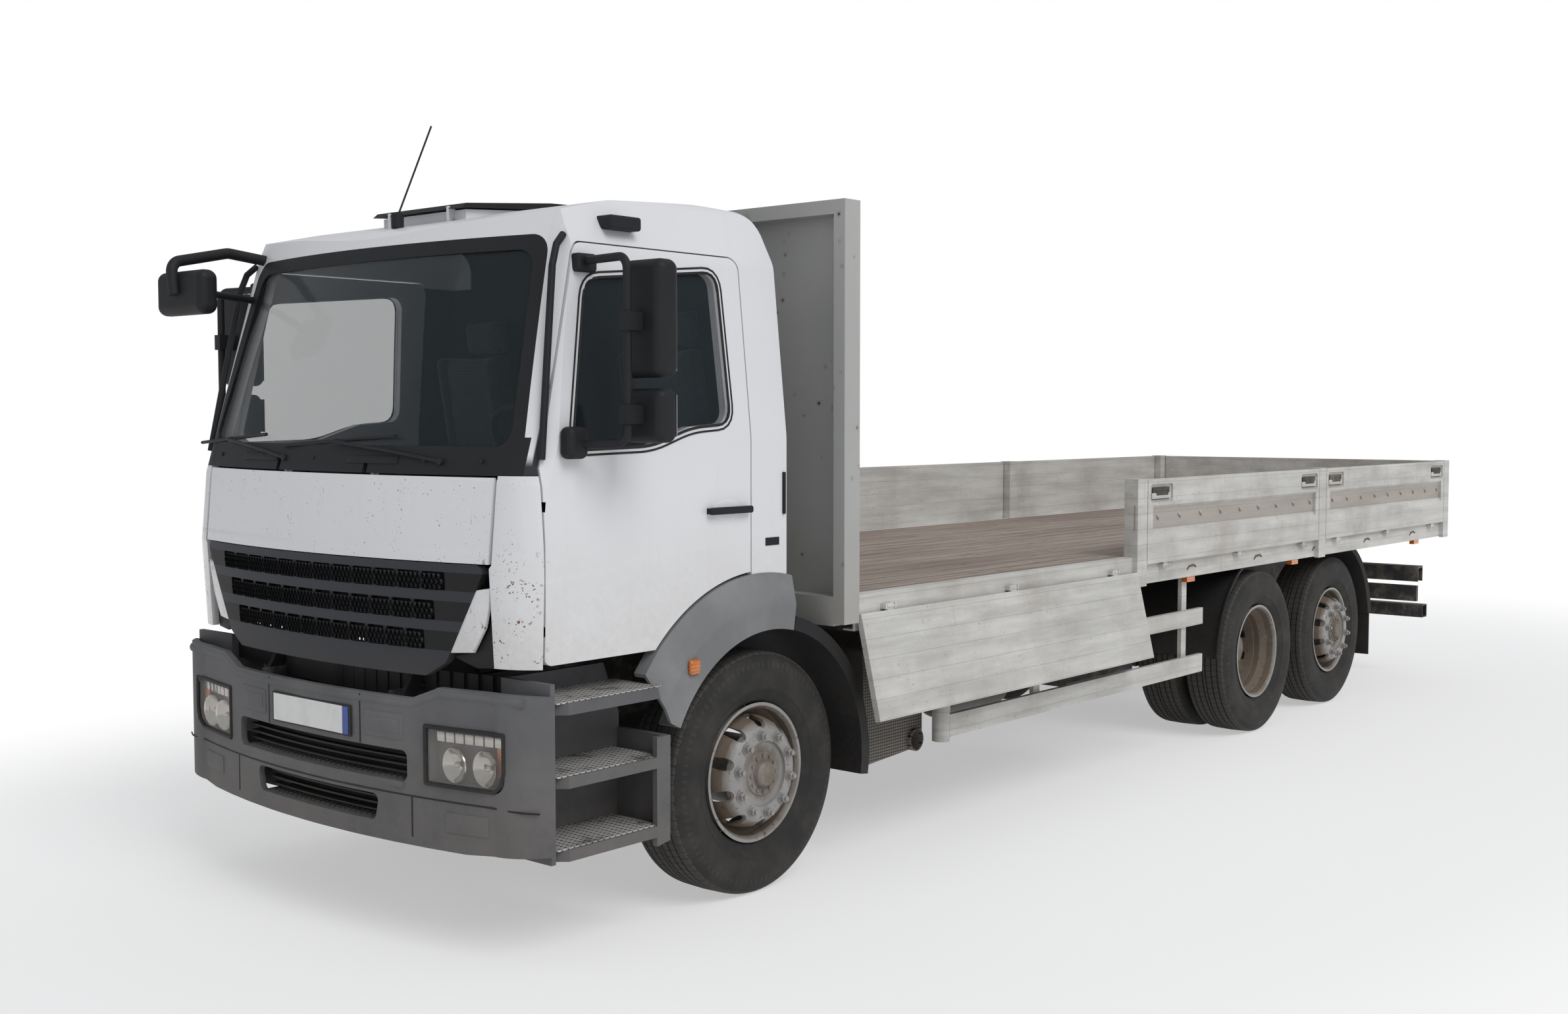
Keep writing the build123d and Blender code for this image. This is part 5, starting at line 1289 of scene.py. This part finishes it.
def seat(side, y):
    """Cushion, back and head rest with their sewn channels, on a boxed base."""
    parts = (
        ("seat_cushion", {
            "centre": (at(0.310), y, 1.625), "size": (0.515, 0.474, 0.128), "lean": 0.0,
            "radius": 0.034, "crown": 0.018, "bolster": 0.018, "seams": (-0.35, 0.2), "cuts": 22}),
        ("seat_back", {
            "centre": (at(0.042), y, 1.980), "size": (0.700, 0.464, 0.118), "lean": 99.5,
            "radius": 0.034, "crown": 0.016, "bolster": 0.018, "seams": (-0.45, 0.0, 0.45),
            "cuts": 22}),
        ("seat_head_rest", {
            "centre": (at(-0.006), y, 2.420), "size": (0.154, 0.254, 0.092), "lean": 97.0,
            "radius": 0.032, "crown": 0.010, "bolster": 0.0, "seams": (), "cuts": 14}),
    )
    for name, form in parts:
        bm = bmesh.new()
        cushion(bm, **form)
        piece = new_piece(f"{name}_{side}", bm, "cab", "cloth", 60)
        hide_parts("seats")
    base = bmesh.new()
    add_box(base, (at(0.140), at(0.480)), (y - 0.18, y + 0.18), (1.3605, 1.400), 0.008)
    folds, fold_height = 5, 0.028
    for n in range(folds):
        z = 1.402 + n * fold_height
        grow = 0.010 * (n % 2)
        add_box(base, (at(0.155 - grow), at(0.465 + grow)), (y - 0.165 - grow, y + 0.165 + grow),
                (z, z + fold_height - 0.001), 0.010)
    add_box(base, (at(0.125), at(0.495)), (y - 0.19, y + 0.19), (1.541, 1.5645), 0.006)
    for offset in (-0.06, 0.06):
        add_bar(base, (at(-0.022), y + offset, 2.30), (at(-0.010), y + offset, 2.37), 0.006, 10)
    new_piece(f"seat_base_{side}", base, "cab", "black", 40)


for side_name, s in SIDES:
    seat(side_name, s * SEAT_Y)


# Bed

BOARD_SPANS = (("1", -3.051, -0.525), ("2", -5.592, -3.174), ("3", -8.053, -5.715))
BOARD_HOOKS = 9
LATCH_INSET = 0.165      # from the board's end to the middle of its latch


def board_fittings():
    """Hooks in each board's recess, and the latch plate and lever at both its ends.

    The lowered board gets none, as its outer side faces the truck.
    """
    for side, s in SIDES:
        for count, rear, front in BOARD_SPANS:
            lowered = side == "left" and count == "1"
            if lowered:
                continue
            bm = bmesh.new()
            for n in range(BOARD_HOOKS):
                x = at(rear + (front - rear) * (n + 0.5) / BOARD_HOOKS)
                add_box(bm, (x - 0.014, x + 0.014), (1.250, 1.2555), (1.452, 1.492), 0.001, 1)
                add_pipe(bm, [(x, 1.254, 1.482), (x, 1.266, 1.462), (x - 0.016, 1.264, 1.448)],
                         0.0038, 6)
            new_piece(f"rope_hooks_{side}_{count}", bm, f"board_{side}_{count}", "steel",
                      30, mirror=s < 0)
            latch = bmesh.new()
            for x in (rear + LATCH_INSET, front - LATCH_INSET):
                add_box(latch, (at(x - 0.100), at(x + 0.100)), (1.2655, 1.2715), (1.562, 1.634),
                        0.002, 1)
                add_box(latch, (at(x - 0.080), at(x + 0.060)), (1.2715, 1.2745), (1.586, 1.612),
                        0.001, 1)
            new_piece(f"board_latches_{side}_{count}", latch, f"board_{side}_{count}", "iron",
                      30, mirror=s < 0)


def rail_hooks():
    """Rusty twist hooks under the side rail."""
    hooks, first, spacing = 8, -1.05, 0.92
    for side, s in SIDES:
        bm = bmesh.new()
        for n in range(hooks):
            x = at(first - n * spacing)
            add_pipe(bm, [(x - 0.03, 1.241, 1.140), (x, 1.244, 1.152), (x + 0.06, 1.244, 1.148),
                          (x + 0.085, 1.241, 1.128)], 0.006, 8)
        new_piece(f"rail_hooks_{side}", bm, "chassis", "rusty", 40,
                  mirror=s < 0)


board_fittings()
rail_hooks()


# Floor, light and camera

def studio():
    """Pale floor that fades into a white background, soft light, and the camera."""
    f = Finish("studio_floor", Roughness=0.9)
    f.colour(f.mix(f.noise(0.4), (0.90, 0.90, 0.90), (0.93, 0.93, 0.93)))
    x, y, _ = f.axes()
    pale_x, pale_y = 7.5, 3.6
    far = ((x / pale_x) ** 2.0 + (y / pale_y) ** 2.0).step(0.7, 2.2)
    ray = f.tree.nodes.new("ShaderNodeLightPath")
    seen = Wire(f, ray.outputs["Is Camera Ray"]).most(Wire(f, ray.outputs["Is Glossy Ray"])).most(
        Wire(f, ray.outputs["Is Transmission Ray"]))
    glow = f.tree.nodes.new("ShaderNodeEmission")
    blend = f.tree.nodes.new("ShaderNodeMixShader")
    f.feed(blend.inputs["Fac"], (far * 0.55 + 0.45) * seen)
    f.tree.links.new(f.shader.outputs[0], blend.inputs[1])
    f.tree.links.new(glow.outputs[0], blend.inputs[2])
    output = f.tree.nodes["Material Output"]
    f.tree.links.new(blend.outputs[0], output.inputs["Surface"])
    mesh = bpy.data.meshes.new("studio_floor")
    bm = bmesh.new()
    bmesh.ops.create_grid(bm, x_segments=1, y_segments=1, size=60)
    bm.to_mesh(mesh)
    bm.free()
    mesh.materials.append(f.material)
    floor = bpy.data.objects.new("studio_floor", mesh)
    bpy.context.scene.collection.objects.link(floor)

    world = bpy.data.worlds.new("studio")
    bpy.context.scene.world = world
    world.use_nodes = True
    nodes, links = world.node_tree.nodes, world.node_tree.links
    light = nodes["Background"]
    light.inputs["Color"].default_value = SKY_COLOUR
    light.inputs["Strength"].default_value = SKY_STRENGTH
    white = nodes.new("ShaderNodeBackground")
    white.inputs["Color"].default_value = (1, 1, 1, 1)
    path = nodes.new("ShaderNodeLightPath")
    blend = nodes.new("ShaderNodeMixShader")
    links.new(path.outputs["Is Camera Ray"], blend.inputs["Fac"])
    links.new(light.outputs[0], blend.inputs[1])
    links.new(white.outputs[0], blend.inputs[2])
    links.new(blend.outputs[0], nodes["World Output"].inputs["Surface"])

    sun = bpy.data.lights.new("softbox", "SUN")
    sun.energy = SUN_STRENGTH
    sun.angle = math.radians(SUN_SPREAD)
    sun_object = bpy.data.objects.new("softbox", sun)
    sun_object.rotation_euler = Vector(SUN_FROM).to_track_quat("Z", "Y").to_euler()
    bpy.context.scene.collection.objects.link(sun_object)

    camera = bpy.data.cameras.new("photo_camera")
    camera.sensor_fit = "HORIZONTAL"
    camera.sensor_width = 36
    camera.lens = CAMERA_LENS
    camera.clip_end = 200
    camera_object = bpy.data.objects.new("photo_camera", camera)
    camera_object.location = CAMERA_PLACE
    camera_object.rotation_euler = (math.radians(90 + CAMERA_PITCH), 0,
                                    math.radians(CAMERA_YAW - 90))
    bpy.context.scene.collection.objects.link(camera_object)
    bpy.context.scene.camera = camera_object
    bpy.context.scene.view_settings.view_transform = "Standard"


studio()
